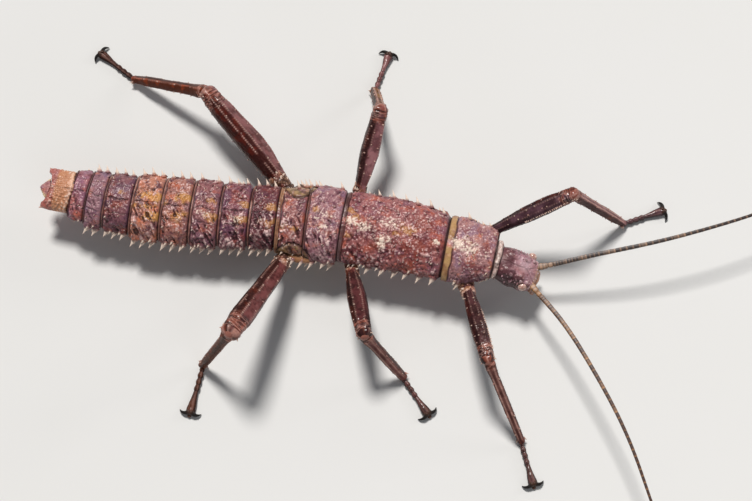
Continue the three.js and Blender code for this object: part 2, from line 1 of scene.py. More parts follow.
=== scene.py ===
"""A giant spiny stick insect, standing on a pale floor: the finished surfaces over the solid frame.

The frame and the stage are in metres. The insect is worked out in millimetres, and each of its pieces
is made metres when it is finished.
"""

import math
import random

import bmesh
import bpy
import numpy as np
from mathutils import Matrix, Vector
from mathutils.bvhtree import BVHTree


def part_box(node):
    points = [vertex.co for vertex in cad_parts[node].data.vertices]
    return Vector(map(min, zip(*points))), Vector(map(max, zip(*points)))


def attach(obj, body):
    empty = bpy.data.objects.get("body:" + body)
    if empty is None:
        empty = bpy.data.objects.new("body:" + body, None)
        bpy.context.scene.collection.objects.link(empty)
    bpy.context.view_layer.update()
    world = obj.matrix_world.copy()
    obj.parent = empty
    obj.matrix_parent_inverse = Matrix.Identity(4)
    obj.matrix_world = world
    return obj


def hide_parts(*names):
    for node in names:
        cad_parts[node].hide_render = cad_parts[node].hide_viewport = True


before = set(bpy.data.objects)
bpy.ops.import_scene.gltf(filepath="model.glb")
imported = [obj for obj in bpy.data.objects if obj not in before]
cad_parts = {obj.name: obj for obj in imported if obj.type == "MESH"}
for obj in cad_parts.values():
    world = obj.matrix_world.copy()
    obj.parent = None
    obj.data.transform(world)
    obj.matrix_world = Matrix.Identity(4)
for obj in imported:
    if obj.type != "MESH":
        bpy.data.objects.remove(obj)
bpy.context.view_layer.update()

METRES = 0.001
TURN = 2 * math.pi
# The size of the mesh on the plates, the limbs, what is grown from lumps, the head and the feelers.
CELL = 0.11
LIMB_CELL = 0.125
SKIN_CELL = 0.1
HEAD_CELL = 0.075
FEELER_STEP = 0.1
FAR = 30  # further than any solid's surface is from its middle line
THORN_REACH = 20  # how far out a thorn's root is looked for, and a spine's from inside the head
SPINE_REACH = 6
dice = random.Random(11)

# Large numbers that stir a cell's three numbers and a seed into one, and then stir that again.
STIR_CELL = (73856093, 19349663, 83492791)
STIR_SEED = (49979687, 91)
STIR_AGAIN = ((13, 1274126177), (15, 668265263))

# -------- small maths


def unit(vectors):
    """Vectors made one long."""
    return vectors / np.linalg.norm(vectors, axis=-1, keepdims=True)


def ease(value, low, high):
    """0 below low, 1 above high, and a soft step between them."""
    share = np.clip((value - low) / (high - low), 0, 1)
    return share * share * (3 - 2 * share)


def hump(value, middle, spread):
    """1 at the middle, falling away on both sides."""
    return np.exp(-(((value - middle) / spread) ** 2))


def most(*values):
    """The largest of some values, point by point."""
    return np.maximum.reduce(np.broadcast_arrays(*values))


def scatter(cells, seed):
    """A repeatable number from 0 to 1 for each whole-number cell."""
    mixed = seed * STIR_SEED[0] + STIR_SEED[1]
    for number, stir in enumerate(STIR_CELL):
        mixed = cells[..., number] * stir ^ mixed
    for shift, stir in STIR_AGAIN:
        mixed = (mixed ^ (mixed >> shift)) * stir & 0x7FFFFFFF
    return ((mixed ^ (mixed >> 13)) & 0xFFFF) / 0xFFFF


def cloud(points, size, seed, octaves=3):
    """Soft noise from -1 to 1 in lumps of about that size."""
    total, strength, whole = 0, 1, 0
    for octave in range(octaves):
        place = points * (2**octave / size)
        cell = np.floor(place).astype(np.int64)
        part = place - cell
        part = part * part * (3 - 2 * part)
        value = 0
        for corner in np.ndindex(2, 2, 2):
            share = np.prod(np.where(corner, part, 1 - part), axis=-1)
            value = value + share * scatter(cell + np.array(corner), seed + 17 * octave)
        total = total + strength * (2 * value - 1)
        whole += strength
        strength /= 2
    return np.clip(total / whole * 1.6, -1, 1)


def grains(points, size, seed, chance=1, layers=1):
    """Round bumps from 0 to 1, at most one in each cell; layers is 1 for flat points and 3 for solid ones."""
    place = points / size
    cell = np.floor(place).astype(np.int64)
    height = np.zeros(points.shape[:-1])
    for step in np.ndindex(3, 3, layers):
        near = cell + np.array(step) - np.array((1, 1, layers // 2))
        middle = near + np.stack([scatter(near, seed + k) for k in (1, 2, 3)], -1)
        reach = 0.42 + 0.3 * scatter(near, seed + 4)
        away = np.linalg.norm((place - middle)[..., : 3 if layers > 1 else 2], axis=-1)
        bump = np.clip(1 - (away / reach) ** 2, 0, 1) * (0.45 + 0.55 * scatter(near, seed + 5))
        height = most(height, np.where(scatter(near, seed + 6) < chance, bump, 0))
    return height


def flat(*numbers):
    """Points from one or two coordinates, for the noise above."""
    numbers = np.broadcast_arrays(*numbers)
    return np.stack(list(numbers) + [np.zeros(numbers[0].shape)] * (3 - len(numbers)), -1)


def layer(*numbers):
    """Three numbers for every point, as one painted layer."""
    return np.stack(np.broadcast_arrays(*numbers), -1)


def circle(count):
    """Angles at even steps all the way round."""
    return np.arange(count) * TURN / count


def sheet(along, angles):
    """Rows and columns of points: how far along and at which angle each is."""
    return np.meshgrid(along, angles, indexing="ij")


# -------- reading the solids


class Solid:
    """A node's solid in millimetres: its points, its faces and a tree to cast rays at."""

    def __init__(self, node):
        self.shape = bmesh.new()
        self.shape.from_mesh(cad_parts[node].data)
        bmesh.ops.remove_doubles(self.shape, verts=self.shape.verts, dist=1e-7)
        bmesh.ops.scale(self.shape, vec=(1 / METRES,) * 3, verts=self.shape.verts)
        self.shape.normal_update()
        self.points = np.array([v.co for v in self.shape.verts])
        self.tree = BVHTree.FromBMesh(self.shape)

    def cap(self, way):
        """The middle of the flat end that faces that way, and the end's own direction."""
        way, straight_on = Vector(way), 0.93
        faces = [f for f in self.shape.faces if f.normal.dot(way) > straight_on]
        area = sum(f.calc_area() for f in faces)
        middle = sum((f.calc_center_median() * f.calc_area() for f in faces), Vector()) / area
        facing = max(faces, key=lambda f: f.calc_area()).normal
        return np.array(middle), np.array(facing)

    def reach(self, start, ways):
        """How far the surface is from start in each direction, with nan where there is none."""
        found = []
        for way in ways:
            distance = self.tree.ray_cast(Vector(start), Vector(way), FAR)[3]
            found.append(np.nan if distance is None else distance)
        return found


def distances(points):
    """How far along its path each of some points is."""
    return np.concatenate([[0], np.cumsum(np.linalg.norm(np.diff(points, axis=0), axis=1))])


def smooth_curve(points, at, degree):
    """A smooth curve through points at some distances, as a function of the distance."""
    fits = [np.polyfit(at, column, degree) for column in np.transpose(points)]
    return lambda s: np.stack([np.polyval(fit, s) for fit in fits], -1)


class Line:
    """A middle line through some knots, with its left side and its up direction all along it."""

    def __init__(self, knots, up):
        self.knots = np.asarray(knots, float)
        self.at = distances(self.knots)
        legs = unit(np.diff(self.knots, axis=0))
        ahead = unit(np.concatenate([legs[:1], legs[:-1] + legs[1:], legs[-1:]]))
        side = unit(np.cross(np.broadcast_to(np.asarray(up, float), ahead.shape), ahead))
        self.frames = np.stack([ahead, side, np.cross(ahead, side)], 1)
        self.length = self.at[-1]

    def turned(self, s):
        """The along, side and up directions at a distance along the line."""
        flatframes = self.frames.reshape(len(self.at), 9)
        read = np.stack([np.interp(s, self.at, flatframes[:, k]) for k in range(9)], -1)
        return [unit(read[..., k : k + 3]) for k in (0, 3, 6)]

    def axes(self, s):
        """The same three directions at one place."""
        return [directions[0] for directions in self.turned(np.array([s]))]

    def middle(self, s):
        """The point at a distance along the line, which goes straight on past its ends."""
        inside = np.clip(s, 0, self.length)
        read = np.stack([np.interp(inside, self.at, self.knots[:, k]) for k in range(3)], -1)
        return read + self.turned(s)[0] * (s - inside)[..., None]

    def point(self, s):
        """The same for one place."""
        return self.middle(np.array([s]))[0]

    def spot(self, s, angle, reach):
        """The point at that distance along, angle round and reach out from the line."""
        _, side, up = self.turned(s)
        out = side * np.cos(angle)[..., None] + up * np.sin(angle)[..., None]
        return self.middle(s) + out * reach[..., None]

    def find(self, points):
        """The other way round: each point's distance along, angle and reach."""
        s = np.full(points.shape[:-1], self.length / 2)
        for _ in range(6):
            ahead = self.turned(s)[0]
            s = s + np.sum((points - self.middle(s)) * ahead, -1)
        _, side, up = self.turned(s)
        off = points - self.middle(s)
        across, above = np.sum(off * side, -1), np.sum(off * up, -1)
        return s, np.arctan2(above, across), np.hypot(across, above)


class Girth:
    """How far a solid stands out all round a stretch of a line, with its thorns left out."""

    COUNT = 72

    def __init__(self, solid, line, start, end, step, clean=2, waves=9):
        self.s = np.linspace(start, end, max(4, int(round((end - start) / step)) + 1))
        angles = circle(self.COUNT)[:, None]
        _, side, up = line.turned(self.s)
        rows = []
        for place, left, top in zip(line.middle(self.s), side, up):
            rows.append(solid.reach(place, np.cos(angles) * left + np.sin(angles) * top))
        reach = np.array(rows)
        for column in reach.T:
            missing = np.isnan(column)
            if missing.any() and not missing.all():
                column[missing] = np.interp(self.s[missing], self.s[~missing], column[~missing])
        reach = np.where(np.isnan(reach), np.nanmedian(reach), reach)
        if clean:
            reach = self.median(reach, clean)
        spectrum = np.fft.rfft(reach, axis=1)
        spectrum[:, waves + 1 :] = 0
        self.reach = np.fft.irfft(spectrum, self.COUNT, axis=1)

    @staticmethod
    def median(reach, span):
        """Each number made the middle one of those around it, so that thin thorns fall away."""
        padded = np.pad(reach, ((span, span), (0, 0)), mode="reflect")
        windows = [padded[k : k + len(reach)] for k in range(2 * span + 1)]
        shifted = [np.roll(window, turn, axis=1) for window in windows for turn in range(-span, span + 1)]
        return np.median(shifted, axis=0)

    def __call__(self, s, angle):
        row = np.clip(np.interp(s, self.s, np.arange(len(self.s))), 0, len(self.s) - 1.001)
        column = (angle / TURN * self.COUNT) % self.COUNT
        i, j = row.astype(int), column.astype(int)
        x, y = row - i, column - j
        following = (j + 1) % self.COUNT
        near = self.reach[i, j] * (1 - y) + self.reach[i, following] * y
        next_row = self.reach[i + 1, j] * (1 - y) + self.reach[i + 1, following] * y
        return near * (1 - x) + next_row * x


# -------- building the surfaces
#
# Two colours ride on every point. marks holds ochre patches, pale rims and dark seams, some of them
# painted shade; relief holds the tops of the grains, which the finishes make into painted highlights on
# top and painted shade in the hollows, the tips of the thorns, which also carry painted highlights, and
# the softer flanks, which on the legs and the head carry painted shade.


def new_shape(mesh=None):
    """A shape that carries the two painted layers, empty or made from a mesh."""
    shape = bmesh.new()
    if mesh:
        shape.from_mesh(mesh)
    for name in ("marks", "relief"):
        if name not in shape.verts.layers.float_color:
            shape.verts.layers.float_color.new(name)
    return shape


def paint(shape, verts, marks, relief):
    """Writes both painted layers on some points."""
    on_marks, on_relief = (shape.verts.layers.float_color[name] for name in ("marks", "relief"))
    marks, relief = (np.clip(values, 0, 1).reshape(-1, 3).tolist() for values in (marks, relief))
    for vertex, mark, height in zip(verts, marks, relief):
        vertex[on_marks] = (*mark, 1)
        vertex[on_relief] = (*height, 1)


def points_of(shape):
    """The places of all of a shape's points."""
    return np.array([vertex.co for vertex in shape.verts])


def outward(places):
    """The direction straight out of a skin of rows and columns of points."""
    ahead = np.gradient(places, axis=0)
    around = np.roll(places, -1, 1) - np.roll(places, 1, 1)
    out = np.cross(around, ahead)
    return out / most(np.linalg.norm(out, axis=-1, keepdims=True), 1e-9)


def tube(rows, sides, closed=False):
    """A plain upright tube of rows of points, one long in each step."""
    shape = new_shape()
    bmesh.ops.create_cone(
        shape, cap_ends=closed, cap_tris=closed, segments=sides, radius1=1, radius2=1, depth=rows - 1
    )
    upright = [e for e in shape.edges if abs(e.verts[0].co.z - e.verts[1].co.z) > 0.5]
    bmesh.ops.subdivide_edges(shape, edges=upright, cuts=rows - 2, use_grid_fill=True)
    return shape


def join(shape, other):
    """Moves all of another shape into a shape."""
    mesh = bpy.data.meshes.new("part")
    other.to_mesh(mesh)
    other.free()
    shape.from_mesh(mesh, face_normals=False, vertex_normals=False)
    bpy.data.meshes.remove(mesh)


def wrap(places, marks, relief):
    """A closed skin over rows and columns of points, its first and last rows drawn to a point."""
    rows, columns = places.shape[:2]
    shape = tube(rows, columns)
    verts = list(shape.verts)
    at = points_of(shape)
    row = np.rint(at[:, 2] + (rows - 1) / 2).astype(int)
    column = np.rint(np.arctan2(at[:, 1], at[:, 0]) / (TURN / columns)).astype(int) % columns
    for vertex, place in zip(verts, places[row, column].tolist()):
        vertex.co = place
    paint(shape, verts, marks[row, column], relief[row, column])
    for end in (0, rows - 1):
        ring = [v for v, r in zip(verts, row) if r == end]
        bmesh.ops.pointmerge(shape, verts=ring, merge_co=Vector(places[end].mean(0)))
    return shape


def with_ends(line, s, places, rear, front):
    """Rows of points with closing rows added, each a step on from the edge row and a share of its size."""
    ahead = line.turned(s)[0]
    ends = []
    for edge, rows, way in ((0, rear, -1), (-1, front, 1)):
        middle = line.middle(s[edge])
        around = places[edge] - middle
        ends.append([middle + way * step * ahead[edge] + around * share for step, share in rows])
    return np.concatenate([np.array(ends[0][::-1]), places, np.array(ends[1])])


def padded(values, rear, front):
    """Values for the closing rows, carried over from the edge rows."""
    return np.concatenate([values[:1]] * len(rear) + [values] + [values[-1:]] * len(front))


def closed_skin(line, s, places, marks, relief, rear, front, level=None):
    """A skin along a line with its ends closed by more rows, and kept above a level."""
    places = with_ends(line, s, places, rear, front)
    if level is not None:
        places[..., 2] = most(places[..., 2], level)
    return wrap(places, padded(marks, rear, front), padded(relief, rear, front))


def grow_thorn(shape, root, tip, radius, bend=None, sides=8, rings=4, pale=1, marks=(0, 0.5, 0)):
    """A spike with a swollen root, sunk in what it grows from, that curves towards bend."""
    root, tip = Vector(root), Vector(tip)
    axis = tip - root
    turn = axis.to_track_quat("Z", "Y")
    bend = Vector(bend) if bend is not None else Vector()
    spike = tube(rings + 2, sides, closed=True)
    relief = []
    for vertex in spike.verts:
        share = vertex.co.z / (rings + 1) + 0.5
        around = Vector((vertex.co.x, vertex.co.y, 0))
        if around.length > 0.01:
            around.normalize()
        left = 1 - share
        width = radius * (0.45 * left**0.8 + 0.52 * left**2.2 + 0.03)
        along = axis * share - axis.normalized() * radius * 0.5 * (1 - share)
        vertex.co = root + along + turn @ around * width + bend * (share * share * axis.length)
        relief.append((0.5, pale * min(1, 1.5 * share), 0))
    paint(spike, spike.verts, np.tile(marks, (len(relief), 1)), np.array(relief))
    join(shape, spike)


def lobe(shape, middle, axes, sizes, marks=(0, 0, 0), relief=(0.4, 0, 0), seed=0):
    """A slightly uneven ball with three half sizes along three directions."""
    ball = new_shape()
    bmesh.ops.create_uvsphere(ball, u_segments=20, v_segments=12, radius=1)
    turn = np.array(axes) * np.array(sizes)[:, None]
    places = points_of(ball)
    places = (places * (1 + 0.05 * cloud(places, 0.8, seed)[:, None])) @ turn + np.array(middle)
    for vertex, place in zip(ball.verts, places.tolist()):
        vertex.co = place
    count = len(ball.verts)
    paint(ball, ball.verts, np.tile(marks, (count, 1)), np.tile(relief, (count, 1)))
    join(shape, ball)


def thorn_from(shape, tree, start, out, way, length, radius, **more):
    """Grows a thorn where a line out from a start leaves the surface."""
    hit = tree.ray_cast(Vector(start), Vector(out), THORN_REACH)[0]
    if hit is not None:
        grow_thorn(shape, hit, hit + Vector(way).normalized() * length, radius, **more)


def finished(name, shape, finish, slot, *nodes):
    """Makes a shape into a piece of the model that stands for those nodes."""
    bmesh.ops.scale(shape, vec=(METRES,) * 3, verts=shape.verts)
    mesh = bpy.data.meshes.new(name)
    shape.to_mesh(mesh)
    shape.free()
    mesh.materials.append(finish)
    mesh.polygons.foreach_set("use_smooth", [True] * len(mesh.polygons))
    piece = bpy.data.objects.new(name, mesh)
    bpy.context.scene.collection.objects.link(piece)
    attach(piece, "root")
    if nodes:
        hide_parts(*nodes)
    return piece


def grown(shape, cell, rounds):
    """One closed skin round everything in a shape, smoothed a number of rounds."""
    mesh = bpy.data.meshes.new("lumps")
    shape.to_mesh(mesh)
    shape.free()
    lumps = bpy.data.objects.new("lumps", mesh)
    bpy.context.scene.collection.objects.link(lumps)
    remesh = lumps.modifiers.new("skin", "REMESH")
    remesh.mode = "VOXEL"
    remesh.voxel_size = cell
    skin = bpy.data.meshes.new_from_object(lumps.evaluated_get(bpy.context.evaluated_depsgraph_get()))
    bpy.data.objects.remove(lumps)
    bpy.data.meshes.remove(mesh)
    result = new_shape(skin)
    bpy.data.meshes.remove(skin)
    every_way = {"use_axis_x": True, "use_axis_y": True, "use_axis_z": True}
    for _ in range(rounds):
        bmesh.ops.smooth_vert(result, verts=result.verts, factor=0.5, **every_way)
    result.normal_update()
    return result


def lifted(shape, lift, marks, relief):
    """Moves every point of a shape along its normal and paints it."""
    for vertex, height in zip(shape.verts, lift.tolist()):
        vertex.co += vertex.normal * height
    paint(shape, shape.verts, marks, relief)


# -------- finishes


class Value:
    """A number that varies over a surface, carried by a socket."""

    def __init__(self, finish, socket):
        self.finish = finish
        self.socket = socket

    def sum(self, operation, first, second, clamp=False):
        """What an operation makes of two numbers."""
        settings = {"operation": operation, "use_clamp": clamp}
        return self.finish.value("ShaderNodeMath", settings, {0: first, 1: second})

    def __add__(self, other):
        return self.sum("ADD", self, other)

    def __radd__(self, other):
        return self.sum("ADD", other, self)

    def __sub__(self, other):
        return self.sum("SUBTRACT", self, other)

    def __rsub__(self, other):
        return self.sum("SUBTRACT", other, self)

    def __mul__(self, other):
        return self.sum("MULTIPLY", self, other)

    def __rmul__(self, other):
        return self.sum("MULTIPLY", other, self)

    def kept(self):
        """Held between 0 and 1."""
        return self.sum("ADD", self, 0, clamp=True)

    def between(self, low, high):
        """0 below low, 1 above high, and a soft step between them."""
        settings = {"interpolation_type": "SMOOTHSTEP"}
        return self.finish.value("ShaderNodeMapRange", settings, {0: self, 1: low, 2: high})


class Finish:
    """A surface finish: colours laid over a first one, in nodes that end in one shader."""

    def __init__(self, name, colour, **even):
        self.colour = colour
        self.material = bpy.data.materials.new(name)
        self.material.use_nodes = True
        self.nodes = self.material.node_tree.nodes
        self.nodes.clear()
        even = {socket.replace("_", " "): value for socket, value in even.items()}
        self.shader = self.node("ShaderNodeBsdfPrincipled", {}, even)
        self.node("ShaderNodeOutputMaterial", {}, {"Surface": self.shader.outputs[0]})
        self.place = self.node("ShaderNodeTexCoord", {}, {}).outputs["Object"]

    def node(self, kind, settings, inputs):
        """A new node with its settings, and with the values or links of its sockets."""
        made = self.nodes.new(kind)
        for name, setting in settings.items():
            setattr(made, name, setting)
        for name, given in inputs.items():
            self.feed(made.inputs[name], given)
        return made

    def feed(self, socket, given):
        """Links something to a socket, or sets the socket to it."""
        if isinstance(given, Value):
            given = given.socket
        if isinstance(given, bpy.types.NodeSocket):
            self.material.node_tree.links.new(given, socket)
        elif isinstance(given, tuple) and len(given) == 3 and socket.type == "RGBA":
            socket.default_value = (*given, 1)
        else:
            socket.default_value = given

    def value(self, kind, settings, inputs):
        """The number that a new node gives."""
        return Value(self, self.node(kind, settings, inputs).outputs[0])

    def painted(self, name):
        """The three numbers that a painted layer carries."""
        colour = self.node("ShaderNodeAttribute", {"attribute_name": name}, {}).outputs["Color"]
        split = self.node("ShaderNodeSeparateColor", {}, {"Color": colour})
        return [Value(self, split.outputs[k]) for k in range(3)]

    def shifted(self, seed):
        """Places on the surface, moved aside so that two patterns don't fall together."""
        offset = (0.37 * seed, 0.61 * seed, 0.83 * seed)
        inputs = {"Vector": self.place, "Location": offset}
        return self.node("ShaderNodeMapping", {"vector_type": "POINT"}, inputs).outputs[0]

    def noise(self, size, seed, detail=3, roughness=0.55):
        """Cloudy noise from 0 to 1 with lumps of about that many millimetres."""
        inputs = {"Vector": self.shifted(seed), "Scale": 1 / (size * METRES)}
        return self.value("ShaderNodeTexNoise", {}, {**inputs, "Detail": detail, "Roughness": roughness})

    def cells(self, size, seed):
        """The distance to the nearest of scattered points about that many millimetres apart."""
        inputs = {"Vector": self.shifted(seed), "Scale": 1 / (size * METRES)}
        return self.value("ShaderNodeTexVoronoi", {"feature": "F1"}, inputs)

    def blend(self, share, first, second):
        """The first colour, turning into the second as share goes from 0 to 1."""
        settings = {"data_type": "RGBA", "clamp_factor": True}
        return self.node("ShaderNodeMix", settings, {0: share, 6: first, 7: second}).outputs[2]

    def over(self, share, colour):
        """Lays another colour over those so far, as share goes from 0 to 1."""
        self.colour = self.blend(share, self.colour, colour)

    def bump(self, height, depth, strength=1):
        """Fine relief that many millimetres deep."""
        inputs = {"Height": height, "Distance": depth * METRES, "Strength": strength}
        self.feed(self.shader.inputs["Normal"], self.node("ShaderNodeBump", {}, inputs).outputs[0])

    def done(self, roughness):
        """The finished material, with that roughness."""
        self.feed(self.shader.inputs["Base Color"], self.colour)
        self.feed(self.shader.inputs["Roughness"], roughness)
        return self.material


def tinted(tint, colour):
    """A colour with each of its parts made that many times as strong."""
    return tuple(share * part for share, part in zip(tint, colour))


def cuticle(name, base, shade, ochre, rim, grain, flank, tip=(0.86, 0.7, 0.58), mixed=1):
    """Hard plate: mottled, with ochre patches, pale rims, dark seams, painted shade in the hollows, pale
    grain tops that are partly painted highlights, and pale tips that also carry painted highlights.
    """
    gloss = {"Specular_IOR_Level": 0.24, "Specular_Tint": (1, 0.66, 0.6, 1)}
    finish = Finish(name, base, **gloss, Coat_Weight=0.4, Coat_Roughness=0.28)
    patch, pale, seam = finish.painted("marks")
    top, thorn, soft = finish.painted("relief")
    wide = finish.noise(3.2, 1, 3, 0.6)
    middling = finish.noise(0.75, 2, 4, 0.65)
    fine = finish.noise(0.2, 3, 3, 0.6)
    warm, cool = tinted((1.35, 0.84, 0.5), base), tinted((0.66, 0.72, 1), base)
    deep, dim = tinted((0.2, 0.1, 0.12), shade), tinted((0.55, 0.42, 0.4), rim)
    finish.over(finish.noise(2.4, 13, 4, 0.6).between(0.49, 0.64) * 0.8 * mixed, warm)
    finish.over(finish.noise(3, 15, 4, 0.6).between(0.48, 0.62) * 0.85 * mixed, cool)
    finish.over(finish.noise(1.5, 14, 4, 0.62).between(0.48, 0.66), shade)
    finish.over((patch * (0.25 + middling * 1.6)).between(0.25, 0.8) * 0.85, ochre)
    # soft lays the flank colour on the underside and on red patches; on the head and the prothorax it is
    # partly painted shade.
    finish.over(soft * (0.5 + 0.6 * middling), flank)
    # Painted shade: the hollows between the grains are darkened.
    finish.over((1 - top.between(0.1, 0.5)) * (0.75 + 0.3 * fine) * (1 - soft * 0.5), deep)
    rims = finish.blend(wide.between(0.42, 0.62), rim, dim)
    finish.over((pale * (0.35 + 1.1 * middling)).kept(), rims)
    # Painted highlights: the grain tops are lightened towards the grain colour, partly their own paler
    # colour.
    high = top.between(0.6, 1) * wide.between(0.34, 0.6)
    finish.over((high * (0.25 + 1.1 * middling)).kept(), grain)
    finish.over((seam * (0.8 + 0.3 * middling)).kept(), (0.01, 0.004, 0.004))
    # The thorn layer lays the pale tip colour on thorn tips, and painted highlights and sheen on the back and
    # the head.
    finish.over(thorn.between(0.15, 0.75) * 0.95, tip)
    finish.bump(fine + 1.5 * finish.noise(0.45, 4, 2), 0.07, 0.6)
    return finish.done((0.4 + 0.15 * fine + 0.1 * seam - 0.2 * top).kept())


# -------- the trunk

# Plates from tail to neck. rim and collar are the widths of the smooth bands at the rear and front;
# grain and wrinkle are the heights of the back's bumps and folds, and ridge of the flank's edge; midline
# is a groove's depth. wide and left move the edges out at the rear and front, left only on the left.
# patches are ochre areas, reds red ones, partly painted shade, and bright light ones, which are painted
# highlights: each a place along the plate and across it (1 is the insect's left edge), two half sizes and
# a strength. The grain colour is laid on the grain tops: pale grains, and painted highlights on them.
DEFAULT_LOOK = {
    "base": (0.259, 0.105, 0.0972), "shade": (0.14, 0.05, 0.06), "ochre": (0.468, 0.205, 0.0595),
    "rim_colour": (0.42, 0.2, 0.16), "pale_grain_and_highlight": (0.9, 0.64, 0.6), "flank": (0.26, 0.13, 0.075),
    "rim": 0.36, "collar": 0.45, "grain": 0.26, "grain_size": 0.66, "wrinkle": 0.36, "midline": 0.16,
    "ridge": 0.34, "wide": (0.36, 0.36), "left": (0, 0), "lens": False,
    "patches": [], "reds": [], "bright": [],
}
SIDE_PATCHES = [(0.78, 0.4, 0.24, 0.2, 1.4), (0.74, -0.45, 0.26, 0.22, 1.3)]
LOOKS = {
    "abdomen_10": {
        "base": (0.46, 0.19, 0.16), "shade": (0.3, 0.1, 0.07), "ochre": (0.56, 0.26, 0.13),
        "rim_colour": (0.88, 0.56, 0.4), "pale_grain_and_highlight": (1, 0.8, 0.66), "flank": (0.42, 0.12, 0.1),
        "rim": 0, "midline": 0.06,
    },
    "abdomen_9": {
        "base": (0.44, 0.18, 0.195), "shade": (0.22, 0.075, 0.1), "grain": 0.1, "wrinkle": 0.15, "rim": 0.14,
    },
    "abdomen_8": {
        "base": (0.33, 0.17, 0.2), "shade": (0.17, 0.07, 0.1), "grain": 0.1, "wrinkle": 0.15, "rim": 0.14,
        "bright": [(0.75, -0.1, 0.2, 0.15, 0.7)],
    },
    "abdomen_7": {
        "base": (0.23, 0.093, 0.108), "shade": (0.11, 0.038, 0.055), "grain": 0.12, "wrinkle": 0.18,
        "rim": 0.26, "wide": (-0.2, -0.35), "left": (0.4, 0.5),
        "patches": [(0.68, 0.42, 0.28, 0.18, 0.9), (0.5, -0.5, 0.28, 0.15, 0.9)],
    },
    "abdomen_6": {
        "base": (0.52, 0.22, 0.15), "ochre": (0.66, 0.31, 0.08),
        "patches": [(0.6, 0.3, 0.5, 0.26, 1.6), (0.45, -0.25, 0.45, 0.22, 1.1), (0.75, -0.62, 0.3, 0.2, 1.4)],
    },
    "abdomen_5": {
        "base": (0.38, 0.15, 0.115), "ochre": (0.56, 0.26, 0.065),
        "patches": [(0.72, 0.38, 0.32, 0.28, 1.4), (0.6, -0.5, 0.4, 0.26, 1.1), (0.15, 0.1, 0.2, 0.3, 0.7)],
    },
    "abdomen_4": {
        "base": (0.3, 0.12, 0.125), "patches": SIDE_PATCHES, "bright": [(0.45, -0.3, 0.3, 0.25, 1.1)],
    },
    "abdomen_3": {
        "base": (0.24, 0.088, 0.11), "wide": (0.2, -0.1), "left": (0.1, 0.4),
        "patches": SIDE_PATCHES, "bright": [(0.6, -0.45, 0.3, 0.25, 1.1)],
    },
    "abdomen_2": {
        "base": (0.16, 0.05, 0.06), "wide": (-0.3, -0.6), "left": (0.6, 1),
        "patches": SIDE_PATCHES + [(0.97, 0, 0.06, 0.9, 0.6)], "bright": [(0.5, -0.4, 0.3, 0.3, 0.55)],
    },
    "median_segment": {
        "base": (0.34, 0.13, 0.12), "rim_colour": (0.45, 0.23, 0.12), "flank": (0.4, 0.26, 0.11),
        "midline": 0, "rim": 0.75, "lens": True, "wide": (0.36, 0.3), "left": (0.2, 0.8),
        "patches": [(0.5, 0.6, 0.4, 0.12, 0.5), (0.5, -0.55, 0.4, 0.16, 0.9)],
        "bright": [(0.3, 0, 0.1, 0.12, 0.8), (0.3, -0.5, 0.1, 0.1, 0.7)],
    },
    "metathorax": {
        "base": (0.34, 0.165, 0.185), "shade": (0.17, 0.06, 0.085), "flank": (0.4, 0.26, 0.11),
        "midline": -0.12, "rim": 0.22, "lens": True, "wide": (0.3, 0.3), "left": (0.8, 0.1),
        "patches": [(0.2, 0.45, 0.25, 0.18, 0.9)],
        "bright": [(0.25, 0.02, 0.16, 0.05, 1.4), (0.6, 0.25, 0.25, 0.22, 1), (0.5, -0.4, 0.3, 0.3, 0.8)],
    },
    "mesothorax": {
        "base": (0.35, 0.13, 0.13), "shade": (0.14, 0.032, 0.04), "rim_colour": (0.2, 0.115, 0.115),
        "pale_grain_and_highlight": (0.95, 0.66, 0.62), "flank": (0.25, 0.05, 0.032),
        "midline": -0.1, "rim": 0.7, "collar": 0.9, "grain": 0.3, "grain_size": 0.68, "wrinkle": 0.16,
        "ridge": 0.26, "wide": (0.15, 0.1), "left": (0, 0.1),
        "patches": [
            (0.07, 0.55, 0.05, 0.16, 1.3), (0.07, -0.5, 0.05, 0.16, 1.2), (0.13, 0.35, 0.06, 0.2, 0.8),
            (0.62, 0.22, 0.13, 0.3, 1.15), (0.52, -0.1, 0.06, 0.18, 1.1), (0.3, 0.4, 0.12, 0.2, 0.5),
        ],
        "reds": [
            (0.66, -0.55, 0.17, 0.34, 2.2), (0.28, -0.72, 0.12, 0.16, 1.4),
            (0.75, 0.55, 0.12, 0.25, 1.4), (0.85, -0.2, 0.12, 0.2, 1),
        ],
        "bright": [
            (0.09, 0.1, 0.05, 0.24, 2.2), (0.2, -0.1, 0.15, 0.4, 1.1), (0.41, -0.5, 0.09, 0.34, 1.3),
            (0.9, -0.12, 0.03, 0.14, 2.4), (0.45, 0.35, 0.11, 0.28, 1.1), (0.75, -0.2, 0.12, 0.3, 0.45),
        ],
    },
    # The dark flank and the reds here are partly painted shade, at the front and on the right side.
    "prothorax": {
        "base": (0.43, 0.22, 0.215), "shade": (0.24, 0.085, 0.1), "rim_colour": (0.5, 0.3, 0.125),
        "pale_grain_and_highlight": (1, 0.8, 0.76), "flank": (0.16, 0.04, 0.05),
        "midline": 0, "rim": 1.3, "collar": 0.5, "grain": 0.3, "grain_size": 0.62, "wrinkle": 0.14,
        "ridge": 0.26, "wide": (0.7, -0.55), "left": (-0.1, 1.5),
        "patches": [(0.3, 0.7, 0.12, 0.14, 0.5)],
        "reds": [(0.8, 0.35, 0.12, 0.35, 0.9), (0.6, -0.8, 0.35, 0.16, 1.2)],
        "bright": [(0.25, 0.08, 0.13, 0.3, 3), (0.4, 0.05, 0.24, 0.5, 1.7), (0.85, -0.2, 0.1, 0.4, 0.9)],
    },
}
PLATES = list(LOOKS)
BELLY = -math.pi / 2
# The olive lens on each side of the two plates over the hind legs: its middle and half its length.
LENS_MIDDLE, LENS_HALF = 51.1, 4.1
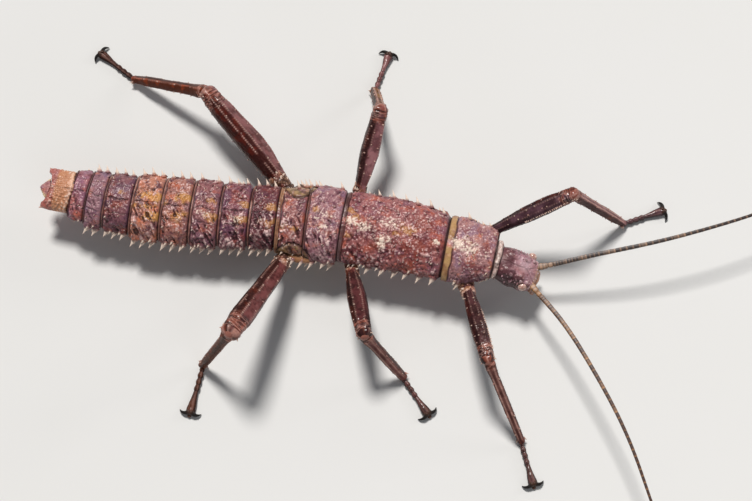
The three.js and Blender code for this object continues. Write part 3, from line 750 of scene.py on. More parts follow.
# The finished trunk bends a little to the insect's right: places along it and how far left each moves.
SWAY_AT = [0, 6, 14, 20, 30, 47, 60, 81, 85, 91, 93]
SWAY = [0, -0.05, -0.55, -0.6, -0.35, -0.35, -0.35, -0.5, -0.7, -1.25, -1.45]
NECK_CUT = 0.15  # the first plate stops this far short of the neck
# How a plate's edges close: how far on each row is, and its share of the size of the edge.
REAR_EDGE = [(0, 0.985), (0.01, 0.965), (-0.1, 0.945), (-0.3, 0.92), (-0.35, 0.5), (-0.35, 0)]
FRONT_EDGE = [(0.02, 0.98), (0.03, 0.94), (0.03, 0.5), (0.03, 0)]
TAIL_REACH = 3.4  # the last plate's half width, for distances round it

solids = {name: Solid(name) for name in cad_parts}


def trunk_line():
    """The line down the middle of the trunk, from the tail to the back of the head, by its joints."""
    chain = PLATES + ["neck", "head"]
    rears = {name: solids[name].cap((-1, 0, 0))[0] for name in chain[1:]}
    fronts = {name: solids[name].cap((1, 0, 0))[0] for name in chain[:-1]}
    joints = [(fronts[a] + rears[b]) / 2 for a, b in zip(chain, chain[1:])]
    ahead = unit(joints[1] - joints[0])
    tail = joints[0] + ahead * ((solids["abdomen_10"].points - joints[0]) @ ahead).min()
    return Line([tail, *joints], (0, 0, 1))


trunk = trunk_line()
span = dict(zip(PLATES + ["neck"], zip(trunk.at, trunk.at[1:])))
course = Line(trunk.knots, (0, 0, 1))
course.knots = trunk.knots + trunk.frames[:, 1] * np.interp(trunk.at, SWAY_AT, SWAY)[:, None]


def look_of(name):
    """A plate's look: its own, and the usual one where it has none."""
    return {**DEFAULT_LOOK, **LOOKS[name]}


def plate_cuticle(name, look):
    """The finish of a plate, in the colours of its look."""
    colours = [look[part] for part in ("base", "shade", "ochre", "rim_colour", "pale_grain_and_highlight", "flank")]
    return cuticle(name, *colours)


def arc_table(girth, middle):
    """The distance round a section from the middle of the back, by angle: left is positive."""
    angles = np.linspace(BELLY, BELLY + TURN, 721)
    reach = girth(np.full(angles.shape, middle), angles)
    places = np.stack([reach * np.cos(angles), reach * np.sin(angles)], -1)
    run = distances(places)
    return angles, np.interp(math.pi / 2, angles, run) - run


def thorns_of(solid, line, girth):
    """The root, tip and root width of each thorn that stands out of a solid."""
    s, angle, reach = line.find(solid.points)
    excess = reach - girth(s, angle)
    shortest, widest = 0.42, 0.9
    found = []
    for vertex, over in zip(solid.shape.verts, excess):
        around = [edge.other_vert(vertex) for edge in vertex.link_edges]
        if over < shortest or not 3 <= len(around) <= 6:
            continue
        root = sum((v.co for v in around), Vector()) / len(around)
        width = sum((v.co - root).length for v in around) / len(around)
        if width < widest:
            found.append((root, vertex.co.copy(), width))
    return found


def blots(rows, share, across):
    """Soft blots on a plate, each a place along and across it, two half sizes and a strength."""
    blot = np.zeros(share.shape)
    for along, aside, long, wide, strength in rows:
        away = ((share - along) / long) ** 2 + ((across - aside) / wide) ** 2
        blot = most(blot, strength * np.exp(-away))
    return blot


def lens_relief(look, s, up, across):
    """The height of an olive lens's upper edge, the lens itself and the line round it."""
    edge, lens, outline = np.full(s.shape, -0.08), np.zeros(s.shape), np.zeros(s.shape)
    if look["lens"]:
        bow = np.clip(1 - ((s - LENS_MIDDLE) / LENS_HALF) ** 2, 0, 1)
        edge = edge + np.where(across > 0, 0.66, 0.48) * bow
        lens = ease(edge - up, 0, 0.06) * ease(up, -0.02, 0.08) * (bow > 0)
        outline = most(hump(up, edge, 0.05), hump(up, 0.02, 0.05)) * ease(bow, 0, 0.4)
    return edge, lens, outline


def plate_relief(look, s, angle, t, start, end, swells, seed):
    """How far a plate's surface stands out, and its painted layers."""
    rim, collar, midline = look["rim"], look["collar"], look["midline"]
    behind, ahead = s - start, end - s
    share = behind / (end - start)
    up, across = np.sin(angle), np.cos(angle)
    spots = flat(s, t)

    def mist(size, number):
        """Soft noise over the plate."""
        return cloud(spots, size, seed + number)

    back = ease(up, -0.05, 0.1)
    belly = ease(-up, 0.3, 0.55)
    banded = rim > 0
    seam = rim + min(0.3 * rim, 0.13) * cloud(flat(t), 1.6, seed + 1) * back * banded
    on_rim = back * (1 - ease(behind, seam - 0.08, seam + 0.04)) * banded
    disc = back * ease(behind, seam + 0.1, seam + 0.4) * ease(ahead, collar, collar + 0.3)

    # The grains and folds of the back.
    bumps = grains(spots, look["grain_size"], seed, 0.9) * (0.62 + 0.38 * mist(2, 3))
    small = grains(spots, look["grain_size"] * 0.55, seed + 20, 0.8)
    stroke, cross = s * 0.5 + np.abs(t) * 0.85, s * 0.85 - np.abs(t) * 0.5
    folds = 1 - np.abs(cloud(flat(cross / 0.62, stroke / 2.2), 1, seed + 5, 2))
    right = 0.45 + 0.55 * ease(-t, -1.5, 1.5)
    crust = look["grain"] * bumps + 0.1 * small + look["wrinkle"] * (folds - 0.6) * right

    # The lines: behind the rim, down the middle, the cracks beside it, the flank's ridge and its pleat.
    groove = hump(behind, seam + 0.1, 0.12) * back * banded
    sway = t + 0.35 * cloud(flat(s), 1.1, seed + 6)
    wander = 0.3 * cloud(flat(s), 1.3, seed + 13)
    cracks = most(hump(t + wander, -3.1, 0.1), 0.7 * hump(t - wander, 3, 0.1))
    cracks = cracks * disc * (midline > 0.08)
    margin = hump(up, 0.01, 0.075) * ease(behind, 0, 0.5) * ease(ahead, 0, 0.5)
    pleat = hump(up, -0.28, 0.1)
    tuck = 1 - ease(ahead, 0.05, collar + 0.15)
    hidden = 0.97 * (1 - ease(ahead, 0.3 * collar, 0.85 * collar))
    sternite = mist(0.9, 10) - 2.4 * hump(np.abs(across), 0.62, 0.06)
    flare = np.interp(share, (0, 1), look["wide"])
    flare = flare + np.interp(share, (0, 1), look["left"]) * (across > 0)
    lift = (
        disc * (crust + 0.16 * mist(2.4, 7))
        + on_rim * (0.05 + 0.04 * mist(0.5, 8))
        - 0.26 * groove
        - 0.34 * tuck
        - midline * hump(sway, 0, 0.12) * disc
        - 0.1 * cracks
        + flare * hump(up, 0, 0.4)
        + look["ridge"] * margin * (0.9 + 0.5 * cloud(flat(s, across), 0.9, seed + 9))
        - 0.3 * pleat
        + 0.05 * belly * sternite
        + 0.07 * (1 - belly) * (1 - back) * mist(0.6, 12)
    )
    edge, lens, outline = lens_relief(look, s, up, across)
    lift = lift * (1 - 0.7 * lens) - 0.22 * outline + 0.3 * lens
    swell = np.zeros(s.shape)
    for root_s, root_t, width in swells:
        swell = most(swell, np.exp(-((s - root_s) ** 2 + (t - root_t) ** 2) / (2 * width) ** 2))
    lift = lift + 0.5 * swell

    # What is painted: bright specks and patches that are painted highlights, ochre patches, red sides that
    # are partly painted shade, dark lines, painted shade at the joints and between the thorn lobes, and pale
    # rims.
    painted_highlight = blots(look["bright"], share, across)
    painted_highlight = painted_highlight * back * (0.3 + 1.2 * most(bumps, small)) * (0.8 + 0.5 * mist(0.7, 15))
    patch = blots(look["patches"], share, across) * back * (0.75 + 0.6 * mist(0.9, 11))
    red = blots(look["reds"], share, across) * back * (0.7 + 0.7 * mist(0.9, 17))
    doubled = 0.7 * hump(behind, seam * 0.55, 0.09) * on_rim * (0.6 < rim < 1)
    # The joints are dark, partly as painted shade where one plate's rim lies over the next; the flank's edge
    # is darkened between the thorn lobes as painted shade.
    dark = most(
        hump(behind, seam + 0.12, 0.13) * back * banded,
        hump(behind, -0.02, 0.16),
        hidden,
        doubled,
        0.85 * hump(sway, 0, 0.13) * disc * (midline > 0.04),
        0.6 * pleat,
        0.85 * outline,
        0.7 * cracks,
        0.55 * lens * ease(mist(0.8, 16), 0.15, 0.4),
        0.5 * margin * (1 - swell) * (1 - lens),
    )
    plain = ease(np.abs(across), 0.12, 0.3) if rim > 0.6 else 1
    pale = most(on_rim * plain, 0.55 * swell * (1 - back * (np.abs(across) < 0.9)))
    # height brings painted shade to the hollows and painted highlights to the tops, in the finish.
    height = np.clip(0.36 + 2.4 * crust + 0.1 * small, 0, 1) * disc + 0.5 * (1 - disc)
    # under lays the flank colour below the edge and on the red patches, which are partly painted shade.
    under = 1 - ease(up, edge - 0.06, edge + 0.02)
    olive = lens * hump(s, LENS_MIDDLE + 0.4, 1.7) * ease(mist(0.8, 18), -0.3, 0.1)
    under = under * (1 - 0.8 * olive)
    return lift, layer(patch, pale, dark), layer(height, 0.75 * painted_highlight, most(under, red))


def side_lobes(shape, girth):
    """The lobe under each lens, over the root of the hind leg, with its three yellow thorns."""
    place = LENS_MIDDLE + 1.9
    ahead, side, top = trunk.axes(place)
    for angle, way in ((0, 1), (math.pi, -1)):
        reach = girth(np.array([span["metathorax"][0] + 1]), np.array([angle]))
        middle = course.spot(np.array([place]), np.array([angle]), reach)[0]
        out = side * way
        low = middle + out * 0.2 - top * 0.75
        lobe(shape, low, [ahead, out, top], (3.1, 1.15, 0.85), (0.75, 0.3, 0.1), (0.5, 0, 0.25), 7)
        for step, length in ((-1.7, 1.5), (0.1, 1.9), (2.1, 1.9)):
            root = middle + ahead * step + out * 0.95 - top * 0.6
            tip = root + unit(out - ahead * 0.25 - top * 0.1) * length
            grow_thorn(shape, root, tip, 0.62, bend=Vector(-ahead) * 0.25, sides=10, rings=5)


def plate_thorns(shape, look, start, end, front, thorns):
    """A plate's own thorns, long on its sides and short on its back, and a scatter of small ones."""
    tree = BVHTree.FromBMesh(shape)

    def thorn(s, angle, lean, length, radius, **more):
        """A thorn that leans to the rear, on the surface at a place along and round the trunk."""
        ahead, side, top = trunk.axes(s)
        out = side * math.cos(angle) + top * math.sin(angle)
        bend = Vector(-ahead) * 0.25
        thorn_from(shape, tree, course.point(s), out, out - ahead * lean, length, radius, bend=bend, **more)

    for s, angle in thorns:
        lateral = abs(math.sin(angle)) < 0.35
        on_left = math.cos(angle) > 0
        if lateral:
            length = (1.5 if on_left else 1.3) * dice.uniform(0.85, 1.15)
            thorn(s, angle + 0.2 * on_left, 0.18, length, 0.6 if on_left else 0.85, sides=10, rings=5)
        else:
            thorn(s, angle, 0.3, dice.uniform(0.4, 0.55), 0.34, pale=0.6)
    for _ in range(int(3 * (end - start))):
        s, way = dice.uniform(start + look["rim"] + 0.3, front - look["collar"]), dice.choice((-1, 1))
        lateral = dice.random() < 0.4
        above = dice.uniform(-0.12, 0.1) if lateral else dice.uniform(0.35, 1.2)
        length = dice.uniform(0.4, 0.8) if lateral else dice.uniform(0.16, 0.34)
        lean = dice.uniform(0.1, 0.4)
        bright = 1 if lateral else 0.5
        angle = (0 if way > 0 else math.pi) + way * above
        thorn(s, angle, lean, length, 0.24 + 0.28 * length, sides=7, rings=3, pale=bright)


def plate(name, seed):
    """One hard plate of the trunk, with the thorns that stand on it."""
    start, end = span[name]
    look = look_of(name)
    girth = Girth(solids[name], trunk, start + 0.4, end - 0.4, 0.4)
    angles, arc = arc_table(girth, (start + end) / 2)
    weight = np.where(np.sin(angles) > -0.25, 1, 0.6)
    run = np.concatenate([[0], np.cumsum(np.abs(np.diff(arc)) * (weight[1:] + weight[:-1]) / 2)])
    columns = 4 * math.ceil(run[-1] / CELL / 4)
    rear, front = start + 0.03, end + (0.02 if name != "prothorax" else -NECK_CUT)
    rows = max(12, int((front - rear) / CELL))
    round_it = np.interp(np.arange(columns) * run[-1] / columns, run, angles)
    s, angle = sheet(np.linspace(rear, front, rows), round_it)
    t = np.interp(angle, angles, arc)
    thorns, swells = [], []
    for root, _, width in thorns_of(solids[name], trunk, girth):
        root_s, root_angle, _ = (found[0] for found in trunk.find(np.array(root)[None]))
        thorns.append((root_s, root_angle))
        swells.append((root_s, np.interp((root_angle - BELLY) % TURN + BELLY, angles, arc), width))
    lift, marks, relief = plate_relief(look, s, angle, t, start, front, swells, seed)
    places = course.spot(s, angle, girth(s, angle))
    places = places + outward(places) * lift[..., None]
    shape = closed_skin(course, s[:, 0], places, marks, relief, REAR_EDGE, FRONT_EDGE)
    plate_thorns(shape, look, start, end, front, thorns)
    if name == "metathorax":
        side_lobes(shape, girth)
    finished(name + "_plate", shape, plate_cuticle(name + "_cuticle", look), "cuticle", name)


def last_plate(seed):
    """The last plate, with its scooped rear edge and its corner lobes."""
    start, end = span["abdomen_10"]
    solid = solids["abdomen_10"]
    girth = Girth(solid, trunk, start + 2.2, end - 0.4, 0.4)
    shape = grown(solid.shape.copy(), SKIN_CELL, 4)
    places = points_of(shape)
    s, angle, reach = trunk.find(places)
    up, across = np.sin(angle), np.cos(angle)
    inner = ease(girth(s, angle) - reach, 0.35, 0.8)
    t = (math.pi / 2 - angle) * TAIL_REACH
    t = np.where(t > math.pi * TAIL_REACH, t - TURN * TAIL_REACH, t)
    back = ease(up, -0.1, 0.1) * (1 - inner)
    bumps, folds = grains(flat(s, t), 0.5, seed, 0.9), 1 - np.abs(cloud(flat(s, t), 0.8, seed + 1))
    tuck = 1 - ease(end - s, 0.05, 0.4)
    crest = hump(end - s, 0.7, 0.25) * back
    crust = 0.2 * bumps + 0.14 * (folds - 0.6)
    lift = back * crust - 0.3 * tuck + 0.1 * crest - 0.08 * hump(t, 0, 0.12) * back
    lobes = ease(s, start + 2.6, start + 0.9) * ease(np.abs(across), 0.2, 0.7)
    patch = back * ease(s, start + 1.6, start + 3.2)
    dark = most(tuck, 0.5 * hump(t, 0, 0.12) * back)
    height = np.clip(0.45 + 2.2 * crust, 0, 1) * back + 0.4 * (1 - back)
    soft = most(1 - ease(up, -0.3, -0.05), lobes)
    lifted(shape, lift, layer(patch, crest, dark), layer(height, 0, soft))
    ahead, side, top = trunk.axes(start)
    bow = 0.65 * ease(end - s, 1.6, 0.3) * (1 - across**2) * ease(up, 0, 0.4)
    for vertex, step in zip(shape.verts, bow.tolist()):
        vertex.co += Vector(ahead) * step
    to_rear = Vector(-ahead) * 0.2
    for root, tip, width in thorns_of(solid, trunk, girth):
        if trunk.find(np.array(root)[None])[0][0] > start + 1.5:
            grow_thorn(shape, root, tip, width, to_rear)
    for way in (1, -1):
        out = way * side
        above = np.abs((places - trunk.point(start)) @ top)
        corner = places[np.argmax(places @ (out - 0.8 * ahead) - above * 0.3)]
        root, tip = corner + ahead * 0.75 - out * 0.35, corner + out * 0.2 - ahead * 0.2
        grow_thorn(shape, root, tip, 0.95, to_rear, 12, 4, 0.1)
    skin = plate_cuticle("tail_cuticle", look_of("abdomen_10"))
    finished("abdomen_10_plate", shape, skin, "cuticle", "abdomen_10")


def tail_tip(seed):
    """The pointed tip that stands in the last plate's notch, with a pale brim."""
    shape = grown(solids["tail_tip"].shape.copy(), SKIN_CELL * 0.8, 4)
    places = points_of(shape)
    ahead, side, _ = trunk.axes(span["abdomen_10"][0])
    sideways = np.abs((places - places.mean(0)) @ side)
    along = (places - places.mean(0)) @ ahead
    half_widths = [0.1, 0.75, 1.15, 1.45, 1.7, 1.85, 1.9]
    reach = np.interp(along, np.linspace(along.min(), along.max(), len(half_widths)), half_widths)
    brim = ease(sideways / reach, 0.72, 0.95)
    bumps = grains(places, 0.42, seed, 1, 3)
    lift = 0.1 * bumps - 0.1 * hump(sideways / reach, 0.68, 0.08)
    lifted(shape, lift, layer(0, brim, 0), layer(0.35 + 0.5 * bumps, 0, 0))
    skin = cuticle(
        "tail_tip_cuticle", (0.5, 0.24, 0.23), (0.3, 0.11, 0.11), (0.5, 0.23, 0.09),
        (0.88, 0.7, 0.42), (0.85, 0.6, 0.56), (0.2, 0.08, 0.08),
    )
    finished("tail_tip_plate", shape, skin, "cuticle", "tail_tip")


for number, name in enumerate(PLATES[1:], 1):
    plate(name, 100 * number)
last_plate(50)
tail_tip(80)


# -------- the legs


class Limb:
    """A limb's own line, worked out from its solid, from the end that is nearest to a point."""

    def __init__(self, node, near):
        self.solid = solids[node]
        points = self.solid.points
        middle = points.mean(0)
        self.axis = np.linalg.svd(points - middle, full_matrices=False)[2][0]
        if np.dot(near - middle, self.axis) > 0:
            self.axis = -self.axis
        place = (points - middle) @ self.axis
        self.origin, self.low, self.high = middle, place.min(), place.max()
        across = unit(np.cross(self.axis, (0, 0, 1)))
        above = np.cross(across, self.axis)
        turns = circle(16)[:8, None]
        ways = np.cos(turns) * across + np.sin(turns) * above
        length = self.high - self.low
        stations = np.linspace(self.low + 0.14 * length, self.high - 0.14 * length, 11)
        middles = middle + stations[:, None] * self.axis
        for _ in range(3):
            for k, place in enumerate(middles):
                out = np.array(self.solid.reach(place, ways))
                back = np.array(self.solid.reach(place, -ways))
                shift = np.nanmedian(((out - back) / 2)[:, None] * ways, axis=0) * 2
                middles[k] = place + shift - np.dot(shift, self.axis) * self.axis
        self.spot = smooth_curve(middles, stations, 2)

    def heading(self, place):
        """Which way the limb goes there."""
        return unit(self.spot(place + 0.1) - self.spot(place))

    def line(self, start, end, up):
        """The limb's middle line between two distances."""
        return Line([self.spot(place) for place in np.linspace(start, end, 14)], up)

    def nearest(self, point):
        """How far along the limb a point is."""
        return np.dot(point - self.origin, self.axis)


def meeting(first, second):
    """The point where two limbs' lines come closest: the joint between them."""
    p, u = first.spot(first.high), first.heading(first.high)
    q, v = second.spot(second.low), second.heading(second.low)
    b, d, e = np.dot(u, v), np.dot(p - q, u), np.dot(p - q, v)
    near = (b * e - d) / (1 - b * b)
    far = (e - b * d) / (1 - b * b)
    return (p + near * u + q + far * v) / 2


# Each kind of leg: the keels round a thigh and a shin of the left side, in degrees round from the rear
# over the top, and how many teeth stand on each. The right side is the other way round.
KEELS = {
    "front": {
        "femur": [(46, 5), (82, 6), (128, 6), (168, 24), (314, 6)],
        "tibia": [(46, 4), (134, 4), (226, 8), (314, 8)],
    },
    "mid": {
        "femur": [(46, 4), (80, 6), (134, 5), (226, 8), (314, 8)],
        "tibia": [(46, 4), (134, 4), (226, 7), (314, 7)],
    },
    "hind": {
        "femur": [(46, 5), (80, 9), (134, 6), (226, 9), (314, 9)],
        "tibia": [(46, 4), (134, 4), (226, 9), (314, 9)],
    },
}
# The colours of each leg: its front and upper face, partly a painted sheen, the darker clouds on it,
# and its rear and under side, mostly darker as painted shade. They differ from leg to leg as painted
# light and shade.
LEG_COLOURS = {
    "front_left": ((0.1, 0.045, 0.062), (0.04, 0.016, 0.022), (0.02, 0.006, 0.008)),
    "front_right": ((0.075, 0.025, 0.028), (0.022, 0.006, 0.007), (0.014, 0.003, 0.004)),
    "mid_left": ((0.36, 0.155, 0.165), (0.15, 0.05, 0.056), (0.016, 0.003, 0.003)),
    "mid_right": ((0.095, 0.024, 0.026), (0.03, 0.007, 0.008), (0.012, 0.003, 0.003)),
    "hind_left": ((0.25, 0.1, 0.1), (0.1, 0.033, 0.033), (0.032, 0.004, 0.0025)),
    "hind_right": ((0.19, 0.058, 0.056), (0.062, 0.014, 0.014), (0.024, 0.005, 0.0035)),
}
# The same for the shins and the hind feet, which also differ from leg to leg as painted light and shade.
SHIN_COLOURS = {
    "front_left": ((0.32, 0.16, 0.16), (0.13, 0.055, 0.058), (0.06, 0.022, 0.022)),
    "front_right": ((0.17, 0.07, 0.06), (0.08, 0.028, 0.025), (0.035, 0.01, 0.01)),
    "mid_left": ((0.22, 0.1, 0.03), (0.09, 0.03, 0.015), (0.02, 0.006, 0.004)),
    "mid_right": ((0.24, 0.085, 0.075), (0.1, 0.028, 0.026), (0.03, 0.008, 0.008)),
    "hind_left": ((0.05, 0.012, 0.007), (0.022, 0.005, 0.003), (0.09, 0.02, 0.008)),
    "hind_right": ((0.09, 0.024, 0.007), (0.03, 0.008, 0.004), (0.075, 0.018, 0.006)),
}
# How pale the beads along the keels are, and the two pale lines down the top of the shin, partly a painted
# sheen.
BEADS = {"front": 0.25, "mid": 0.35, "hind": 0.6}
SHIN_LINES = {"front": 1, "mid": 0.9, "hind": 0.15}
# How much wider than the solid a thigh is at its root, its middle and its knee, how far its middle
# bulges forward, the size of the ball of its knee, and how far out the lobes beside it are.
STOUT = {
    "front_left": (1, 1.42, 1.5, 0, 1.05, 1.15),
    "front": (1.05, 1.38, 1.5, 0, 1.05, 1.15),
    "mid": (1, 1.5, 1.45, 0, 1.1, 1.2),
    "hind_left": (1.1, 1.2, 1.5, 0.6, 1.15, 1.6),
    "hind": (1.1, 1.15, 1.6, 0, 1.2, 1.7),
}
# The hip's lumps: how far each is down the thigh and its half width.
HIPS = {
    "front_left": ((-0.5, 1.3), (1.1, 1.35), (2.6, 1.2), (3.4, 1.05)),
    "front": ((-0.5, 1.4), (1.1, 1.55), (3, 1.65), (4.8, 1.5)),
    "mid": ((-0.5, 1.3), (1.1, 1.4), (2.6, 1.4), (3.6, 1.25)),
    "hind": ((-0.5, 1.6), (1.2, 1.75), (2.8, 1.8), (4, 1.75)),
}
LEG_SHIFT = {"front_left": (0.4, -0.8, 0)}  # how far a finished leg is moved from its solids
HIP_BACK = {"front": 1.5, "mid": 1.6, "hind": 1.8}  # how far the hip is behind the thigh's own end
# How rounded ends close: how far on each row is, and its share of the size of the end.
DOME = [(0.12, 0.97), (0.3, 0.86), (0.45, 0.66), (0.55, 0.36), (0.58, 0)]
KNEE_DOME = [(step * 1.9, share) for step, share in DOME]
FOOT_REAR = DOME[:1] + [(0.2, 0.6), (0.25, 0)]
FOOT_FRONT = DOME[:1] + [(0.2, 0.6), (0.22, 0)]


def apart(angle, keel):
    """How many degrees an angle is from a keel."""
    return np.abs((np.degrees(angle) - keel + 180) % 360 - 180)


def limb_skin(line, girth, start, end, relief_of, rear, front, level=None):
    """A limb's closed skin, with relief_of giving its lift, painted layers, width and height."""
    round_it = girth(np.full(24, (start + end) / 2), circle(24))
    columns = 4 * math.ceil(TURN * round_it.mean() / LIMB_CELL / 4)
    rows = max(10, int((end - start) / LIMB_CELL))
    s, angle = sheet(np.linspace(start, end, rows), circle(columns))
    lift, marks, relief, (wide, tall) = relief_of(s, angle)
    reach = girth(s, angle)
    reach = 0.4 * reach + 0.6 * reach.mean(1, keepdims=True)
    _, side, up = line.turned(s)
    aside, above = reach * np.cos(angle) * wide, reach * np.sin(angle) * tall
    places = line.middle(s) + side * aside[..., None] + up * above[..., None]
    places = places + outward(places) * lift[..., None]
    return closed_skin(line, s[:, 0], places, marks, relief, rear, front, level)


def teeth(shape, line, start, end, keels, size, lean, seed):
    """Rows of small pale teeth along the keels; a comb of close ones starts further on."""
    rolls = random.Random(seed)
    tree = BVHTree.FromBMesh(shape)
    for keel, count in keels:
        comb = count > 12  # the closest row
        first = start + 0.3 * (end - start) * comb
        for k in range(count):
            s = first + (end - first) * (k + rolls.uniform(0.2, 0.8)) / count
            angle = math.radians(keel + rolls.uniform(-2, 2))
            ahead, side, up = line.axes(s)
            out = side * math.cos(angle) + up * math.sin(angle)
            length = size * rolls.uniform(0.5, 1.25)
            look = {"sides": 6, "rings": 2, "pale": 0.7 if comb else rolls.uniform(0.1, 0.75)}
            width = 0.16 + 0.3 * length
            thorn_from(shape, tree, line.point(s), out, out + lean * ahead, length, width, **look)


def thigh_form(s, share, angle, stout, front):
    """How wide and tall a thigh is, where it is knurled and where its ends are ochre."""
    root, middle, knee, bulge = stout[:4]
    wide = np.interp(share, (0, 0.2, 0.52, 0.84, 1), (root, root, middle, knee, knee))
    facing = np.cos(angle) * np.sign(math.cos(front))
    wide = wide * (1 + bulge * ease(facing, -0.2, 0.5) * hump(share, 0.42, 0.27))
    tall = np.interp(share, (0, 0.7, 0.9, 1), (1.05, 1.05, 1.18, 1.18))
    knurled = ease(share, 0.82, 0.9)
    return wide, tall, knurled, most(0.6 * (1 - ease(s, 3, 6)), 0.8 * knurled)


def shin_form(s, share):
    """The same for a shin, which is widest and knurled at the knee."""
    wide = np.interp(s, (0, 1.2, 4), (1.4, 1.4, 1.05)) * np.interp(share, (0.8, 1), (1, 1.25))
    tall = np.interp(s, (0, 1.2, 4), (1.25, 1.25, 1))
    knurled = 1 - ease(s, 1, 3)
    return wide, tall, knurled, most(0.9 * knurled, 0.6 * ease(share, 0.88, 0.98))


def limb_relief(keels, kind, stout, front, length, seed):
    """What a thigh looks like, or a shin where stout is None: front is the angle of its front face."""

    def relief_of(s, angle):
        share = s / length
        degrees = np.degrees(angle)
        spots = flat(s, degrees / 40)
        crest = most(*[hump(apart(angle, keel), 0, 7.5) for keel, _ in keels])
        body = ease(share, 0.02, 0.1) * ease(share, 1, 0.93)
        grain = grains(flat(s, degrees / 22), 0.42, seed, 0.75)
        folds = cloud(flat(s / 3, degrees / 9), 0.5, seed + 2)
        beads = 0.55 + 0.45 * np.sin(TURN * s / 0.5)
        beads = beads * ease(cloud(flat(s, np.round(degrees / 44)), 1.8, seed + 5, 2), -0.6, 0.2)
        form = shin_form(s, share) if stout is None else thigh_form(s, share, angle, stout, front)
        wide, tall, knurled, ends = form
        creases = 1 - np.abs(cloud(flat(s / 0.36, degrees / 70), 1, seed + 8, 2))
        lift = body * (0.15 * crest * (0.7 + 0.6 * beads) + 0.05 * grain + 0.035 * folds)
        lift = lift + 0.07 * cloud(spots, 1.4, seed + 4) * (0.4 + knurled)
        lift = lift + 0.14 * knurled * (creases - 0.5)
        mottle = ease(cloud(spots, 0.9, seed + 7), -0.3, 0.4)
        patch = ends * (0.35 + 0.65 * mottle)
        pale = body * hump(crest, 1, 0.34) * beads * BEADS[kind]
        # On the knee, the pale crease tops are painted highlights and the dark crease hollows painted shade.
        pale = most(pale, 0.5 * knurled * ease(creases, 0.75, 0.95))
        dark = 0.75 * knurled * ease(-creases, -0.55, -0.3)
        # away lays the under colour, mostly darker as painted shade: on the thigh its rear and under side, on
        # the shin all but a band along its top. The shin's two pale lines are partly a painted sheen.
        if stout is None:
            facing = np.cos(angle - (front + math.pi) / 3) + 0.04 * cloud(spots, 0.8, seed + 6)
            away = 1 - ease(facing, 0.72, 0.9)
            lines = hump(apart(angle, 62), 0, 9) + hump(apart(angle, 118), 0, 9)
            pale = most(pale, SHIN_LINES[kind] * lines * body * (0.6 + 0.4 * mottle))
        else:
            away = 1 - ease(np.cos(angle - front) + 0.06 * cloud(spots, 1.2, seed + 6), 0.42, 0.66)
        return lift, layer(patch, pale, dark), layer(grain * body * 0.8, 0, away), (wide, tall)

    return relief_of


def foot_relief(length, seed):
    """What a foot looks like: four short joints that swell below, and a long last one that widens."""
    joints = [0.14 * k * length for k in range(1, 5)]

    def relief_of(s, angle):
        waist = most(*[hump(s, joint, 0.13) for joint in joints])
        swell = most(*[hump(s, joint - 0.35, 0.3) for joint in joints])
        below = ease(-np.sin(angle), 0.2, 0.7)
        splay = ease(s / length, 0.62, 0.97)
        lift = -0.04 * waist + 0.03 * swell * (1 + 2 * below) + 0.04 * cloud(flat(s, angle), 0.6, seed)
        # Pale streaks along the top are painted highlights; the sides are darker, and the underside takes the
        # leg's under colour.
        highlight_streak = hump(apart(angle, 70), 0, 15) + 0.7 * hump(apart(angle, 125), 0, 12)
        beside = 0.22 + 0.5 * (1 - hump(apart(angle, 95), 0, 50))
        patch = 0.5 * (1 - ease(s, 0.2, 0.9)) + 0.3 * swell
        marks = layer(patch, 0.36 * highlight_streak, most(waist, beside))
        return lift, marks, layer(0, 0, below), (0.98 + 0.3 * splay, 0.95)

    return relief_of


def claws(tip, heading):
    """Two hooked claws that curl apart and come down to the ground, and the pad between them."""
    side = np.array((-heading[1], heading[0], 0))
    shape = new_shape()
    length, radius, spread, curl = 2.3, 0.6, math.radians(40), math.radians(110)
    start_height, end_height, arch = 0.82, 0.2, 0.16
    bend = length / curl
    for way in (1, -1):
        share = np.linspace(0, 1, 18)
        swing = spread + share * curl
        ahead = bend * (np.sin(swing) - math.sin(spread))
        aside = way * (0.22 + bend * (math.cos(spread) - np.cos(swing)))
        knots = tip + ahead[:, None] * heading + aside[:, None] * side
        fall = (end_height - start_height) * share**2
        knots[:, 2] = start_height + fall + arch * np.sin(share * math.pi)
        line = Line(knots, (0, 0, 1))
        s, angle = sheet(line.at, circle(12))
        part = s / line.length
        thick = radius * (0.95 * (1 - part) ** 0.7 + 0.05) * (1 + 0.35 * hump(part, 0.08, 0.12))
        places = line.spot(s, angle, thick * (1 - 0.2 * np.abs(np.cos(angle))))
        places[..., 2] = most(places[..., 2], 0)
        marks = layer(0.8 * (1 - ease(part, 0.02, 0.3)), 0, 0)
        rear, front = [(0, 0.8), (0, 0)], [(0.01, 0.6), (0.02, 0)]
        join(shape, closed_skin(line, line.at, places, marks, marks * 0, rear, front))
    axes = [heading, side, np.array((0, 0, 1))]
    root, pad = (tip + heading * step + axes[2] * (z - tip[2]) for step, z in ((0.05, 0.72), (0.62, 0.5)))
    lobe(shape, root, axes, (0.55, 0.6, 0.52), (0.9, 0, 0), (0, 0, 0), 5)
    lobe(shape, pad, axes, (0.5, 0.42, 0.26), (1, 0, 0), (0, 0, 1), 6)
    return shape


